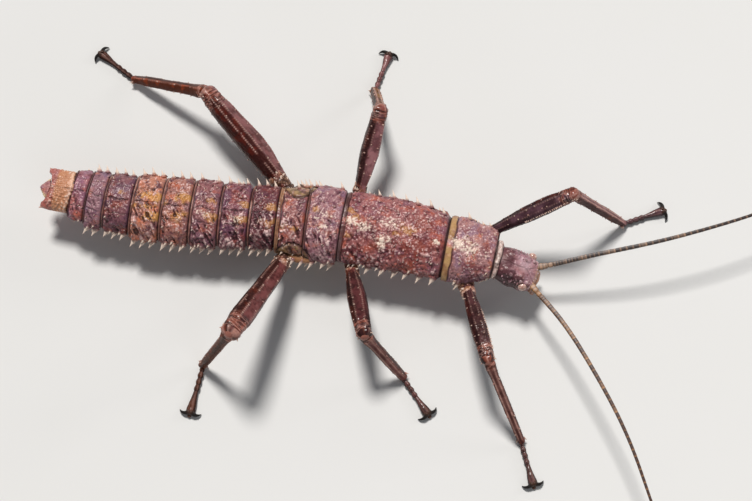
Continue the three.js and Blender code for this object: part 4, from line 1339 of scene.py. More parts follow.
def coxa(name, hip, down, kind, seed):
    """The hip joint: a stout, grainy knuckle with a few pale spines."""
    joined = new_shape()
    join(joined, solids["coxa_" + name].shape.copy())
    across = unit(np.cross((0, 0, 1), down))
    bulges = HIPS.get(name, HIPS[kind])
    for along, size in bulges:
        lobe(joined, hip + down * along, [down, across, np.cross(down, across)], (size,) * 3, seed=seed)
    shape = grown(joined, SKIN_CELL, 4)
    places = points_of(shape)
    along = (places - hip) @ down
    grain = grains(places, 0.5, seed, 0.9, 3)
    mottle = cloud(places, 1.1, seed + 1)
    far = bulges[-1][0]
    ring = hump(along, far - 2.7, 0.15)
    rim = hump(along, far + 0.7, 0.4)
    lift = 0.12 * grain + 0.12 * cloud(places, 1.5, seed + 2) - 0.18 * ring + 0.1 * rim
    dark = most(0.8 * ease(-mottle, 0.2, 0.6), ring)
    if kind == "hind":
        dark = most(dark, 0.85 * (1 - ease(along, far - 0.7, far)) * (1 - 0.6 * grain))
    pale = most(0.75 * grain * ease(mottle, -0.2, 0.4), rim * ease(mottle, -0.5, 0.1))
    marks = layer(ease(mottle, -0.4, 0.4), pale, dark * (1 - rim))
    lifted(shape, lift, marks, layer(0.3 + 0.7 * grain, 0, 0.2))
    tree = BVHTree.FromBMesh(shape)
    rolls = random.Random(seed)
    outer = unit(hip - trunk.middle(trunk.find(hip[None])[0])[0])
    for _ in range(9):
        turn = np.array([rolls.uniform(-0.9, 0.9), rolls.uniform(-0.5, 0.5), rolls.uniform(0.1, 1.3)])
        way = unit(outer * 0.3 + turn)
        length = rolls.uniform(0.25, 0.7)
        start = hip + down * rolls.uniform(0.2, far)
        thorn_from(shape, tree, start, way, way, length, 0.24 + 0.3 * length, sides=7, rings=3)
    return shape


class Leg:
    """One leg: its limbs and joints, from the solids, and its finished pieces."""

    def __init__(self, name, seed):
        self.name, self.seed = name, seed
        self.kind = name.split("_")[0]
        centre = np.array(sum((Vector(c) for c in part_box("coxa_" + name)), Vector())) / 2 / METRES
        self.thigh = Limb("femur_" + name, centre)
        self.shin = Limb("tibia_" + name, self.thigh.spot(self.thigh.high))
        self.foot = Limb("tarsus_" + name, self.shin.spot(self.shin.high))
        self.knee = meeting(self.thigh, self.shin)
        self.hip = self.thigh.spot(self.thigh.low - HIP_BACK[self.kind])
        self.down = unit(self.knee - self.hip)
        self.fall = unit(self.shin.spot(self.shin.high) - self.knee)
        self.stout = STOUT.get(name, STOUT[self.kind])
        self.on_left = name.endswith("left")
        self.front_face = math.radians(135 if self.on_left else 45)
        self.skin = leg_cuticle("leg_cuticle_" + name, *LEG_COLOURS[name])
        self.shin_skin = leg_cuticle("shin_cuticle_" + name, *SHIN_COLOURS[name], coat=0.08)

    def keels(self, part):
        """The keels of a thigh or a shin, the other way round on the right."""
        rows = KEELS[self.kind][part]
        return [(keel if self.on_left else (180 - keel) % 360, count) for keel, count in rows]

    def done(self, part, word, shape, finish, slot="leg"):
        """Puts a finished part in its place."""
        shift = Vector(LEG_SHIFT.get(self.name, (0, 0, 0)))
        bmesh.ops.translate(shape, vec=shift, verts=shape.verts)
        finished(f"{part}_{self.name}_{word}", shape, finish, slot, f"{part}_{self.name}")

    def knee_lobes(self, shape, line):
        """The ball of the knee and the two spiny lobes beside it."""
        size, beside = self.stout[4:]
        ahead, side, up = axes = line.axes(line.length)
        sizes = (size, size * 1.02, size * 0.95)
        lobe(shape, self.knee + ahead * 0.2, axes, sizes, (0.8, 0.2, 0), (0.5, 0, 0.5), self.seed)
        sizes = (0.62 * size, 0.42 * size, 0.6 * size)
        for way in (1, -1):
            spot = self.knee + side * way * (beside - 0.25) - ahead * 0.1 - up * 0.15
            lobe(shape, spot, axes, sizes, (0.9, 0.3, 0), (0.6, 0, 0.3), self.seed + way)
            for lift, step in ((0.55, -0.6), (0.15, 0.8), (-0.5, 0.4), (0.8, 0.2)):
                out = unit(side * way * 0.8 + up * lift + ahead * step)
                root = spot + out * (0.42 * size)
                grow_thorn(shape, root, root + out * 0.5, 0.3, None, 7, 3, 0.55, (0.6, 0.4, 0))

    def make_thigh(self):
        """The thigh, from inside the hip to the knee."""
        up = unit(np.dot(self.down, self.fall) * self.down - self.fall)
        line = self.thigh.line(self.thigh.nearest(self.hip), self.thigh.nearest(self.knee), up)
        girth = Girth(self.thigh.solid, line, 2.6, line.length - 1.6, 0.6, waves=4)
        keels = self.keels("femur")
        relief = limb_relief(keels, self.kind, self.stout, self.front_face, line.length, self.seed)
        shape = limb_skin(line, girth, -0.2, line.length, relief, DOME, KNEE_DOME)
        teeth(shape, line, HIPS[self.kind][-1][0] + 1, line.length - 1.4, keels, 0.3, 0.25, self.seed)
        self.knee_lobes(shape, line)
        bend = line.axes(line.length)[0] * 0.25
        for root, tip, width in thorns_of(self.thigh.solid, line, girth):
            grow_thorn(shape, root, tip, width * 1.3, bend=bend, pale=0, marks=(0, 0, 1))
        self.done("femur", "shell", shape, self.skin)

    def make_shin(self):
        """The shin, with four pale spurs at its end."""
        up = unit(self.down - np.dot(self.down, self.fall) * self.fall)
        line = self.shin.line(self.shin.nearest(self.knee), self.shin.high - 0.25, up)
        girth = Girth(self.shin.solid, line, 1.9, line.length - 1, 0.6, waves=4)
        keels = self.keels("tibia")
        relief = limb_relief(keels, self.kind, None, self.front_face, line.length, self.seed + 9)
        shape = limb_skin(line, girth, 0, line.length, relief, DOME, DOME)
        teeth(shape, line, 2.4, line.length - 0.8, keels, 0.26, 0.35, self.seed + 5)
        tree = BVHTree.FromBMesh(shape)
        ahead, side, up = line.axes(line.length)
        place = line.point(line.length - 0.25)
        for turn in (225, 315, 200, 340):
            out = side * math.cos(math.radians(turn)) + up * math.sin(math.radians(turn))
            thorn_from(shape, tree, place, out, out + ahead * 1.2, 0.75, 0.34, sides=7, rings=3, pale=0.8)
        for root, tip, width in thorns_of(self.shin.solid, line, girth):
            grow_thorn(shape, root, tip, width * 1.3, pale=0, marks=(0, 0, 1))
        self.done("tibia", "shell", shape, self.shin_skin)

    def make_foot(self):
        """The jointed foot and its claws, both on the ground."""
        line = self.foot.line(self.foot.low - 0.2, self.foot.high - 0.02, (0, 0, 1))
        girth = Girth(self.foot.solid, line, 0.5, line.length - 0.15, 0.22, clean=0, waves=3)
        relief = foot_relief(line.length, self.seed)
        shape = limb_skin(line, girth, 0, line.length, relief, FOOT_REAR, FOOT_FRONT, 0)
        self.done("tarsus", "shell", shape, self.shin_skin if self.kind == "hind" else self.skin)
        heading = line.axes(line.length)[0] * (1, 1, 0)
        self.done("claws", "hooks", claws(line.point(line.length), unit(heading)), CLAW_FINISH, "claw")

    def make(self):
        """All the pieces of the leg, from the thigh down, and the hip's knuckle last."""
        self.make_thigh()
        self.make_shin()
        self.make_foot()
        shape = coxa(self.name, self.hip, self.down, self.kind, self.seed)
        self.done("coxa", "knuckle", shape, COXA_FINISH)


def leg_cuticle(name, base, shade, under, coat=0.5):
    """Dark mahogany with pale beads along its keels and warm, wrinkled joints; its rear and under side take a
    colour that is mostly painted shade, with a painted orange-red glow in it.
    """
    gloss = {"Specular_IOR_Level": 0.12, "Specular_Tint": (1, 0.5, 0.42, 1)}
    finish = Finish(name, base, **gloss, Coat_Weight=coat, Coat_Roughness=0.2)
    patch, keel, seam = finish.painted("marks")
    top, thorn, away = finish.painted("relief")
    broad = finish.noise(2.2, 6, 4, 0.6)
    fine = finish.noise(0.35, 7, 4, 0.65)
    finish.over(broad.between(0.38, 0.62), shade)
    # Painted shade: the rear and under side, where away is set.
    finish.over(away * (0.75 + 0.4 * fine), under)
    # A painted orange-red glow in that shade.
    warm = away * finish.noise(3, 16, 3).between(0.5, 0.66)
    finish.over(warm * 0.8, tinted((3.8, 2.7, 1.5), under))
    finish.over((top * fine).kept() * 0.3, (0.24, 0.1, 0.085))
    finish.over((patch * (0.1 + 1.3 * fine)).between(0.2, 0.7) * 0.85, (0.31, 0.09, 0.058))
    # The pale layer: keel beads, with painted highlights on the knee creases, the foot's streaks and partly
    # the shin's lines.
    finish.over((keel * (0.3 + 1.1 * fine)).kept(), (0.7, 0.4, 0.33))
    # The dark layer: the teeth's dark roots, the foot's joints and darker sides, and painted shade in the
    # knee's creases.
    finish.over((seam * 0.9).kept(), (0.014, 0.006, 0.006))
    finish.over(thorn.between(0.1, 0.65) * 0.9, (0.8, 0.6, 0.48))
    finish.bump(fine + 0.7 * finish.noise(0.2, 8, 2), 0.03, 0.4)
    return finish.done((0.3 + 0.2 * fine + 0.1 * seam).kept())


def claw_finish():
    """Black horn, brown where it leaves the foot."""
    finish = Finish("claw_black", (0.01, 0.007, 0.006), Specular_IOR_Level=0.3)
    base, _, _ = finish.painted("marks")
    fine = finish.noise(0.4, 9, 3)
    finish.over(base * (0.4 + 0.6 * fine), (0.12, 0.05, 0.03))
    return finish.done(0.36 + 0.2 * fine)


CLAW_FINISH = claw_finish()
COXA_FINISH = cuticle(
    "coxa_cuticle", (0.36, 0.15, 0.11), (0.15, 0.05, 0.045), (0.45, 0.21, 0.1),
    (0.75, 0.5, 0.4), (0.95, 0.72, 0.62), (0.3, 0.12, 0.06), mixed=0.6,
)
for number, name in enumerate(LEG_COLOURS):
    Leg(name, 300 + 40 * number).make()


# -------- the head


class Place:
    """Axes of its own: a spot in it is so far ahead, so far to the left and so far up."""

    def __init__(self, origin, ahead, side):
        self.origin = np.array(origin)
        self.axes = np.array([ahead, side, np.cross(ahead, side)])

    def at(self, *spot):
        """The point in the frame of a spot in these axes."""
        return self.origin + np.array(spot) @ self.axes

    def way(self, *direction):
        """A direction in these axes, as one in the frame's."""
        return unit(np.array(direction, float)) @ self.axes

    def inside(self, points):
        """The spots in these axes of points in the frame."""
        return (points - self.origin) @ self.axes.T


# Places in the head's own axes.
EYE_AHEAD, EYE_OUT, EYE_UP, EYE_RADIUS = 5.85, 3.3, 0.8, 0.88
FEELER_ROOT = (7.5, 1.95, 0.3)
HEAD_LENGTH = 8.3
HEAD_SHIFT = (-1.03, -1.15, -0.3)  # how far the finished head is from the solid's, and its turn
HEAD_TURN = math.radians(4)
# The head's half width, height and depth from its rear to its front, at even steps.
HEAD_HALF = [3.05, 3.55, 3.7, 3.6, 3.2, 2.3]
HEAD_TOP = [2.3, 2.72, 2.8, 2.62, 2.2, 1.35]
HEAD_BOTTOM = [2.3, 2.6, 2.7, 2.62, 2.3, 1.6]
# The lumps on each side of the head: where each is, its half sizes and which way it leans.
SIDE_LUMPS = [
    ((2, 1.5, 1.55), (1.9, 1.45, 1.4), (1, 0.1, 0)),
    ((4.2, 1.9, 1.3), (1.7, 1.2, 1.28), (1, 0, 0)),
    ((5.6, 2.55, 1.2), (1.5, 0.55, 0.62), (1, -0.25, -0.16)),
    ((6, 2.5, -1.1), (1.9, 0.95, 1.35), (1, -0.3, -0.2)),
    ((2.8, 2.9, -0.9), (1.9, 0.75, 1.2), (1, 0.1, 0)),
    ((7.15, 1.9, 0.15), (0.72, 0.85, 0.85), (1, 0.1, 0)),
    ((6.6, 0.85, 0.9), (1, 0.6, 0.65), (1, 0.2, -0.3)),
    ((5.85, 2.85, 0.65), (1.05, 0.45, 1), (1, -0.1, 0)),
]
FACE_LUMPS = [
    ((6.8, 0, 0.35), (1.35, 1.5, 0.95), (1, 0, -0.4)),
    ((8, 0, -1.25), (0.75, 1.7, 1.1), (1, 0, -0.7)),
    ((8.5, 0, -2.35), (0.42, 1.35, 0.8), (1, 0, -0.35)),
    ((8.55, 0.55, -2.9), (0.36, 0.62, 0.45), (1, 0, -0.2)),
    ((8.55, -0.55, -2.9), (0.36, 0.62, 0.45), (1, 0, -0.2)),
]
# The crown's spines: how far ahead, how far out and how long each is.
CROWN = [(1.1, 1.5, 0.4), (3, 1.75, 0.55), (4.9, 1.35, 0.5), (5.3, 2.3, 0.45), (6.5, 2, 0.35)]


def head_place():
    """The head's axes, from its rear face and its two eyes."""
    left, right = (solids["eye_" + name].points.mean(0) for name in ("left", "right"))
    rear = solids["head"].cap((-1, 0, 0))[0]
    side = unit(left - right)
    toward = (left + right) / 2 - rear
    toward = unit(toward - np.dot(toward, side) * side)
    eyes_above, eyes_ahead = 0.8, 5.2
    lift = math.atan2(eyes_above, eyes_ahead)
    ahead = toward * math.cos(lift) - np.cross(toward, side) * math.sin(lift)
    turn = np.array(Matrix.Rotation(HEAD_TURN, 3, "Z"))
    return Place(rear + HEAD_SHIFT, turn @ unit(ahead), turn @ side)


def sided(spot, way):
    """A spot or direction on the left, or the same on the right where way is -1."""
    return spot[0], spot[1] * way, spot[2]


def ball(shape, place, spot, sizes, lean, marks=(0, 0, 0)):
    """A lump of three half sizes in a place's axes, its first axis turned to lean."""
    ahead = place.way(*lean)
    side = unit(np.cross(place.axes[2], ahead))
    lobe(shape, place.at(*spot), [ahead, side, np.cross(ahead, side)], sizes, marks)


def head_skull(place):
    """The head as one closed skin: the skull, its brows, cheeks, feeler sockets, face and lip."""
    shape = new_shape()
    u, angle = sheet(np.linspace(0.015, 1, 40), circle(64))
    steps = np.linspace(0, 1, len(HEAD_HALF))
    half, top, bottom = (np.interp(u, steps, values) for values in (HEAD_HALF, HEAD_TOP, HEAD_BOTTOM))
    closing = np.sqrt(np.clip(1 - np.clip((u - 0.86) / 0.16, 0, 1) ** 2, 0, 1)) * 0.55 + 0.45
    tall = np.where(np.sin(angle) > 0, top, bottom)
    y = np.sign(np.cos(angle)) * np.abs(np.cos(angle)) ** 0.86 * half * closing
    z = np.sign(np.sin(angle)) * np.abs(np.sin(angle)) ** 0.9 * tall * closing - 0.9 * u**3
    rear = rear_face(place, y, z) - 0.8
    spots = np.stack([u * HEAD_LENGTH + (1 - u) ** 2 * rear, y, z], -1)
    plain = np.zeros(spots.shape)
    join(shape, wrap(place.origin + spots @ place.axes, plain, plain))
    for way in (1, -1):
        for spot, sizes, lean in SIDE_LUMPS:
            ball(shape, place, sided(spot, way), sizes, sided(lean, way))
    for spot, sizes, lean in FACE_LUMPS:
        ball(shape, place, spot, sizes, lean)
    return grown(shape, HEAD_CELL, 5)


def rear_face(place, y, z):
    """How far ahead the slanting rear face of the head is at a place on it."""
    facing = place.axes @ solids["head"].cap((-1, 0, 0))[1]
    return -(facing[1] * y + facing[2] * z) / facing[0]


def head_relief(place, points, facing, seed):
    """How far the head's surface stands out, and its painted layers."""
    x, y, z = place.inside(points).T
    sides = np.abs(y)
    top = ease(facing[:, 2], -0.05, 0.4) * ease(x, 8, 7)
    bumps = grains(points, 0.36, seed, 0.8, 3) * (0.6 + 0.4 * cloud(points, 1.6, seed + 1))
    folds = 1 - np.abs(cloud(points, 0.9, seed + 2, 2))
    wander = 0.12 * cloud(flat(x), 1.2, seed + 3)
    suture = hump(y + wander, 0, 0.08) * ease(x, 5.7, 5.4) * ease(x, 0.2, 0.8)
    fork = hump(sides - (x - 5.4) * 0.75, 0, 0.09) * ease(x, 5.3, 5.6) * ease(x, 7.2, 6.9)
    line = most(suture, fork) * top
    lip = hump(z + 1.85 + 0.25 * (x - 8.4), 0, 0.1) * ease(x, 7.6, 8.1) * ease(sides, 1.9, 1.4)
    eye_gap = np.sqrt((x - EYE_AHEAD) ** 2 + (z - EYE_UP) ** 2)
    socket = ease(sides, 2.6, 3) * hump(eye_gap, 0.98, 0.19)
    orbit = ease(sides, 2.4, 2.8) * hump(eye_gap, 1.22, 0.17)
    gena = hump(z + 0.35 + 0.18 * (x - 5), 0, 0.12) * ease(sides, 2.2, 2.8)
    gena = gena * ease(x, 0.6, 1.4) * ease(x, 7, 6)
    neck = 1 - ease(x - rear_face(place, y, z), -0.6, 0)
    rough = 1 - 0.6 * ease(x, 7.7, 8.3)
    crust = rough * (0.1 * bumps + 0.06 * (folds - 0.6)) * ease(x, 0.8, 3)
    lift = crust - 0.08 * line - 0.16 * lip - 0.14 * socket + 0.1 * orbit - 0.14 * gena - 0.22 * neck**2

    cheek = ease(-facing[:, 2], -0.35, 0.3)
    face = ease(x, 7, 7.8)
    patch = most(0.5 * cheek * ease(cloud(points, 1.3, seed + 5), -0.2, 0.4), 0.7 * face)
    pale = most(0.6 * orbit, 0.4 * hump(x, 8.2, 0.4) * ease(sides, 2.4, 1.6))
    # Painted shade darkens the rear of the right cheek.
    painted_right_cheek_shade = 0.5 * ease(-y, 2.3, 3.2) * ease(x, 5.6, 4.6)
    dark = most(0.5 * neck, line * 0.55, 0.9 * socket, lip, 0.8 * gena, painted_right_cheek_shade)
    height = np.clip(0.46 + 3.2 * crust, 0, 1)
    # sheen is a painted highlight on the crown, laid through the thorn layer.
    sheen = top * hump(x, 4.6, 2.6) * ease(y, -1.9, -0.2) * ease(y, 3, 1.6) * most(bumps, 0.4)
    # shadowed is painted shade on the head's right side; it is laid in the dark maroon flank colour together
    # with the underside, the rear and the sides.
    shadowed = ease(-y + 0.6 * cloud(points, 1.1, seed + 9), 0.7, 1.9) * ease(x, 6.2, 4.6)
    maroon_and_painted_shade = most(
        0.9 * cheek,
        1.2 * ease(x + 0.5 * cloud(points, 1, seed + 6), 3.4, 1.4),
        1.1 * ease(sides, 2.2, 3.1) * ease(x, 5.4, 4.4),
        1.25 * shadowed,
    )
    return lift, layer(patch, pale, dark), layer(height, 0.85 * sheen, maroon_and_painted_shade)


def head_spines(shape, place, seed):
    """The head's spines: five on each side of its crown, five along each brow, and many small ones."""
    tree = BVHTree.FromBMesh(shape)

    def spine(spot, out, length, radius, sides, bright):
        """A spine that grows where a line from inside the head comes out of it."""
        way = Vector(place.way(*out))
        hit = tree.ray_cast(Vector(place.at(*spot)), way, SPINE_REACH)[0]
        if hit is not None:
            back = Vector(place.way(-1, 0, 0.2)) * 0.25
            fading = 0.4 + 0.6 * ease(spot[0], 3.5, 6)
            marks = (0, 0.3 * fading, 0)
            grow_thorn(shape, hit, hit + way * length, radius * 1.35, back, sides, 3, bright * fading, marks)

    rolls = random.Random(seed)
    for way in (1, -1):
        for x, y, length in CROWN:
            spine((x, y * way, 0), (-0.15, 0.18 * way, 1), length, 0.3 + 0.12 * length, 8, 0.6)
        for x in (1.6, 2.6, 3.6, 4.4, 5):
            spine((x, 0, 0.4), (-0.1, way, rolls.uniform(0.05, 0.5)), rolls.uniform(0.2, 0.4), 0.24, 7, 0.35)
        for _ in range(30):
            spot = (rolls.uniform(1.6, 7), rolls.uniform(0, 1.2) * way, 0)
            out = (rolls.uniform(-0.2, 0.5), rolls.uniform(0, 1.6) * way, rolls.uniform(0.2, 1))
            spine(spot, out, rolls.uniform(0.08, 0.2), 0.15, 6, rolls.choice((0.1, 0.25, 0.5)))
        for y, z in ((1.1, 0.6), (0.5, 0.3), (2.6, 0.4), (1.6, -0.6), (2.9, 0.3)):
            out = (1, 0.25 * way * y, 0.25)
            spine((6.4, y * way * 0.8, z), out, rolls.uniform(0.25, 0.45), 0.24, 7, 0.6)


def head(place, seed):
    """The head's shell, with its seams, its eye sockets and its spines."""
    shape = head_skull(place)
    facing = np.array([vertex.normal for vertex in shape.verts]) @ place.axes.T
    lifted(shape, *head_relief(place, points_of(shape), facing, seed))
    head_spines(shape, place, seed)
    # The dark maroon flank colour also lays the painted shade, and the pale tip colour the painted sheen.
    skin = cuticle(
        "head_cuticle", (0.46, 0.25, 0.28), (0.3, 0.12, 0.14), (0.55, 0.3, 0.17),
        (0.75, 0.5, 0.44), (1, 0.78, 0.8), (0.055, 0.009, 0.014), tip=(0.95, 0.76, 0.78), mixed=0.3,
    )
    finished("head_shell", shape, skin, "cuticle", "head")


def eye_finish():
    """A pale, glossy eye with fine facets and darker flecks."""
    gloss = {"Specular_IOR_Level": 0.6, "Coat_Weight": 0.7, "Coat_Roughness": 0.08}
    finish = Finish("eye_facets", (0.82, 0.58, 0.5), **gloss)
    facets = finish.cells(0.085, 3)
    flecks = finish.noise(0.55, 4, 3, 0.6)
    finish.over(flecks.between(0.42, 0.62), (0.5, 0.26, 0.2))
    finish.over(facets.between(0.35, 0.7) * 0.45, (0.26, 0.11, 0.09))
    finish.bump(1 - facets, 0.012, 0.8)
    return finish.done(0.22 + 0.1 * flecks)


def eye(name, way, place, finish):
    """An eye: a ball a little flattened, turned out and up."""
    shape = new_shape()
    bmesh.ops.create_icosphere(shape, subdivisions=5, radius=1)
    middle = place.at(EYE_AHEAD, EYE_OUT * way, EYE_UP + 0.15)
    out = place.way(0.25, way, 0.35)
    up = unit(place.axes[2] - np.dot(place.axes[2], out) * out)
    turn = np.array([np.cross(up, out), out, up]) * np.array((1, 0.86, 0.96))[:, None] * EYE_RADIUS
    for vertex in shape.verts:
        vertex.co = Vector(middle + np.array(vertex.co) @ turn)
    finished(f"eye_{name}_lens", shape, finish, "eye", "eye_" + name)


# How a palp's tip closes: how many times its half width on each row is, and its share of that width.
PALP_TIP = [(0.5, 0.8), (0.8, 0.4), (0.9, 0)]
# The two palps on each side: the knots of each, its radii, its waists and a seed.
PALPS = [
    (((7.1, 1.45, -3.1), (8.3, 2.2, -3.2), (8.9, 2.2, -3.9), (9.1, 1.8, -4.6)),
     [0.3, 0.34, 0.33, 0.36, 0.25], (0.12, 0.26, 0.5, 0.75), 4),
    (((7.1, 0.55, -3.6), (8, 0.95, -4), (8.5, 0.8, -4.55)), [0.22, 0.25, 0.22], (0.33, 0.66), 6),
]
# The jaws, as the head's lumps are, with what is painted on each.
JAW_LUMPS = [
    ((7.65, 1.15, -2.55), (0.95, 0.62, 0.9), (1, -0.35, -0.5), (0.2, 0, 0.2)),
    ((8.3, 0.55, -3.2), (0.62, 0.42, 0.42), (1, -0.5, -0.6), (0, 0, 0.9)),
    ((7.1, 1.35, -3.35), (1.2, 0.5, 0.5), (1, -0.1, -0.25), (0.4, 0, 0)),
    ((7.8, 0.36, -3.75), (0.5, 0.34, 0.26), (1, 0, -0.3), (0.5, 0, 0)),
]


def jointed(shape, knots, radii, waists, seed):
    """A palp of several joints: radii at even steps and a narrow waist at each of some shares."""
    line = Line(knots, (0, 0, 1))
    s, angle = sheet(np.linspace(0, line.length, max(8, int(line.length / 0.1))), circle(12))
    width = np.interp(s / line.length, np.linspace(0, 1, len(radii)), radii)
    waist = most(*[hump(s, w * line.length, 0.12) for w in waists])
    width = width * (1 - 0.35 * waist) * (1 + 0.05 * cloud(flat(s, angle), 0.5, seed))
    rear, front = [(0.1, 0.7), (0.15, 0)], [(share * radii[-1], size) for share, size in PALP_TIP]
    marks, relief = layer(0.7, 0, 0.7 * waist), layer(0.5 + 0 * s, 0, 0)
    join(shape, closed_skin(line, s[:, 0], line.spot(s, angle, width), marks, relief, rear, front))


def bent(knots):
    """More points along the smooth curve through a few knots."""
    at = distances(knots)
    return smooth_curve(knots, at, min(3, len(knots) - 1))(np.linspace(0, at[-1], 16))


def mouthparts(place):
    """The jaws, the lower lip and the two pairs of jointed palps, under and in front of the face."""
    shape = new_shape()
    for way in (1, -1):
        for spot, sizes, lean, marks in JAW_LUMPS:
            ball(shape, place, sided(spot, way), sizes, sided(lean, way), marks)
        for knots, radii, waists, seed in PALPS:
            jointed(shape, bent([place.at(*sided(knot, way)) for knot in knots]), radii, waists, seed)
    ball(shape, place, (6.6, 0, -3.35), (1.5, 1.25, 0.6), (1, 0, -0.2), (0.3, 0, 0))
    skin = cuticle(
        "mouth_cuticle", (0.3, 0.13, 0.1), (0.13, 0.045, 0.04), (0.52, 0.29, 0.2),
        (0.6, 0.38, 0.28), (0.5, 0.3, 0.24), (0.2, 0.09, 0.06),
    )
    finished("mouthparts_jaws", shape, skin, "cuticle", "mouthparts")


# -------- the feelers


# Each feeler's dark colour and the colour of its pale bands.
FEELER_COLOURS = {
    "left": ((0.03, 0.015, 0.013), (0.4, 0.24, 0.15)),
    "right": ((0.06, 0.022, 0.012), (0.46, 0.23, 0.1)),
}
SCAPE, PEDICEL = 2.5, 3.5  # where a feeler's stout first joint and its short second one end


def feeler_knots(name):
    """The middle of each ring of points of a feeler's solid, from its root to its tip."""
    points = solids["feeler_" + name].points
    axis = np.linalg.svd(points - points.mean(0), full_matrices=False)[2][0]
    ordered = points[np.argsort(points @ axis)]
    gaps = np.nonzero(np.diff(ordered @ axis) > 0.55)[0] + 1
    knots = np.array([group.mean(0) for group in np.split(ordered, gaps)])
    first, last = np.linalg.norm(knots[[0, -1]] - skull.at(FEELER_ROOT[0], 0, 0), axis=1)
    return knots if first < last else knots[::-1]


def feeler_line(name, way):
    """A feeler's smooth middle line, with its root moved to its socket in the finished head."""
    knots = feeler_knots(name)
    root = skull.at(*sided(FEELER_ROOT, way))
    away = np.linalg.norm(knots - knots[0], axis=1)
    knots = knots + (root - knots[0]) * (1 - ease(away, 0, 13))[:, None]
    knots = np.concatenate([[root - unit(knots[1] - root) * 0.35, root], knots[away > 1.2]])
    at = distances(knots)
    return Line(smooth_curve(knots, at, 7)(np.linspace(0, at[-1], 90)), (0, 0, 1))


def feeler_skin(name):
    """Dark horn with pale bands and fine dark rings."""
    dark, light = FEELER_COLOURS[name]
    finish = Finish("feeler_cuticle_" + name, dark, Specular_IOR_Level=0.5)
    band, bright, seam = finish.painted("marks")
    fine = finish.noise(0.25, 5, 3)
    finish.over((band * (0.6 + 0.8 * fine)).kept(), light)
    finish.over(bright * (0.3 + fine), (0.6, 0.36, 0.2))
    finish.over(seam * 0.75, (0.014, 0.008, 0.007))
    finish.bump(fine, 0.02, 0.6)
    return finish.done(0.34 + 0.2 * fine)


def feeler(name, way, seed):
    """A feeler: a stout first joint, a short second one and a whip of many ringed joints."""
    line = feeler_line(name, way)
    joints = [PEDICEL]
    while joints[-1] < line.length - 0.4:
        joints.append(joints[-1] + 0.55 + 0.75 * ease(joints[-1], 4, 20))
    joints = np.array(joints)
    s, angle = sheet(np.linspace(0, line.length, int(line.length / FEELER_STEP)), circle(14))
    which = np.clip(np.searchsorted(joints, s) - 1, 0, len(joints) - 2)
    part = (s - joints[which]) / (joints[which + 1] - joints[which])
    on_whip = s > PEDICEL
    taper = 0.5 - 0.24 * (s / line.length)
    swell = np.where(on_whip, 0.035 * np.sin(np.clip(part, 0, 1) * math.pi) + 0.03 * part, 0)
    base = 0.56 + 0.08 * hump(s, 0.8, 0.8) - 0.06 * ease(s, 2.2, 2.6)
    width = np.where(on_whip, taper, np.where(s > SCAPE, 0.5, base)) * (1 + swell)
    waist = most(*[hump(s, joint, 0.09) for joint in (0.25, SCAPE, PEDICEL)])
    width = width * (1 - 0.3 * waist) * (1 + 0.03 * cloud(flat(s, angle), 0.5, seed))
    width = width * (1 + 0.12 * np.abs(np.cos(angle)) * (s < SCAPE) * hump(s, 1.2, 0.9))
    edge = np.where(on_whip, most(hump(part, 0, 0.1), hump(part, 1, 0.1)), waist)
    edge = most(edge, 0.85 * most(*[hump(s, at, 0.13) for at in (0.75, 1.5, 2.1)]))
    banding = scatter(layer(which, 0, 0), seed)
    near = 1 - ease(s, 2.6, 4.4)
    below = ease(-np.sin(angle), 0.1, 0.8)
    ringed = (0.35 + 0.5 * banding) * hump(part, 0.86, 0.16) + 0.25 * below + 0.3 * (banding > 0.72)
    mottled = 0.75 + 0.35 * cloud(flat(s * 1.4, angle), 0.7, seed + 2)
    band = np.clip(most(near * mottled, np.where(on_whip, ringed, 0.8)), 0, 1)
    marks = layer(band, 0.4 * near * hump(part, 0.5, 0.3), edge)
    rear, front = [(0.02, 0.7), (0.05, 0)], [(0.1, 0.75), (0.18, 0.35), (0.2, 0)]
    places = line.spot(s, angle, width)
    shape = closed_skin(line, s[:, 0], places, marks, marks * 0, rear, front)
    finished(f"feeler_{name}_whip", shape, feeler_skin(name), "feeler", "feeler_" + name)


skull = head_place()
head(skull, 900)
mouthparts(skull)
eye_facets = eye_finish()
for name, way in (("left", 1), ("right", -1)):
    eye(name, way, skull, eye_facets)
    feeler(name, way, 950 + way)


# -------- the soft skin


def trunk_reaches():
    """Places along the trunk and how far out the soft skin is there, all round, under each plate."""
    stations, reaches = [], []
    for name in PLATES[1:] + ["neck"]:
        rear, front = span[name]
        if name == "neck":
            girth = Girth(solids[name], trunk, rear + 0.25, front - 0.25, 0.3, clean=1)
            share, count = 1.1, 9
        else:
            girth = Girth(solids[name], trunk, rear + 0.4, front - 0.4, 0.8, waves=5)
            share, count = 0.86, 5
        for place in np.linspace(rear + 0.35, front - 0.35, count):
            stations.append(place)
            reaches.append(share * girth(np.full(48, place), circle(48)))
    return stations, np.array(reaches)


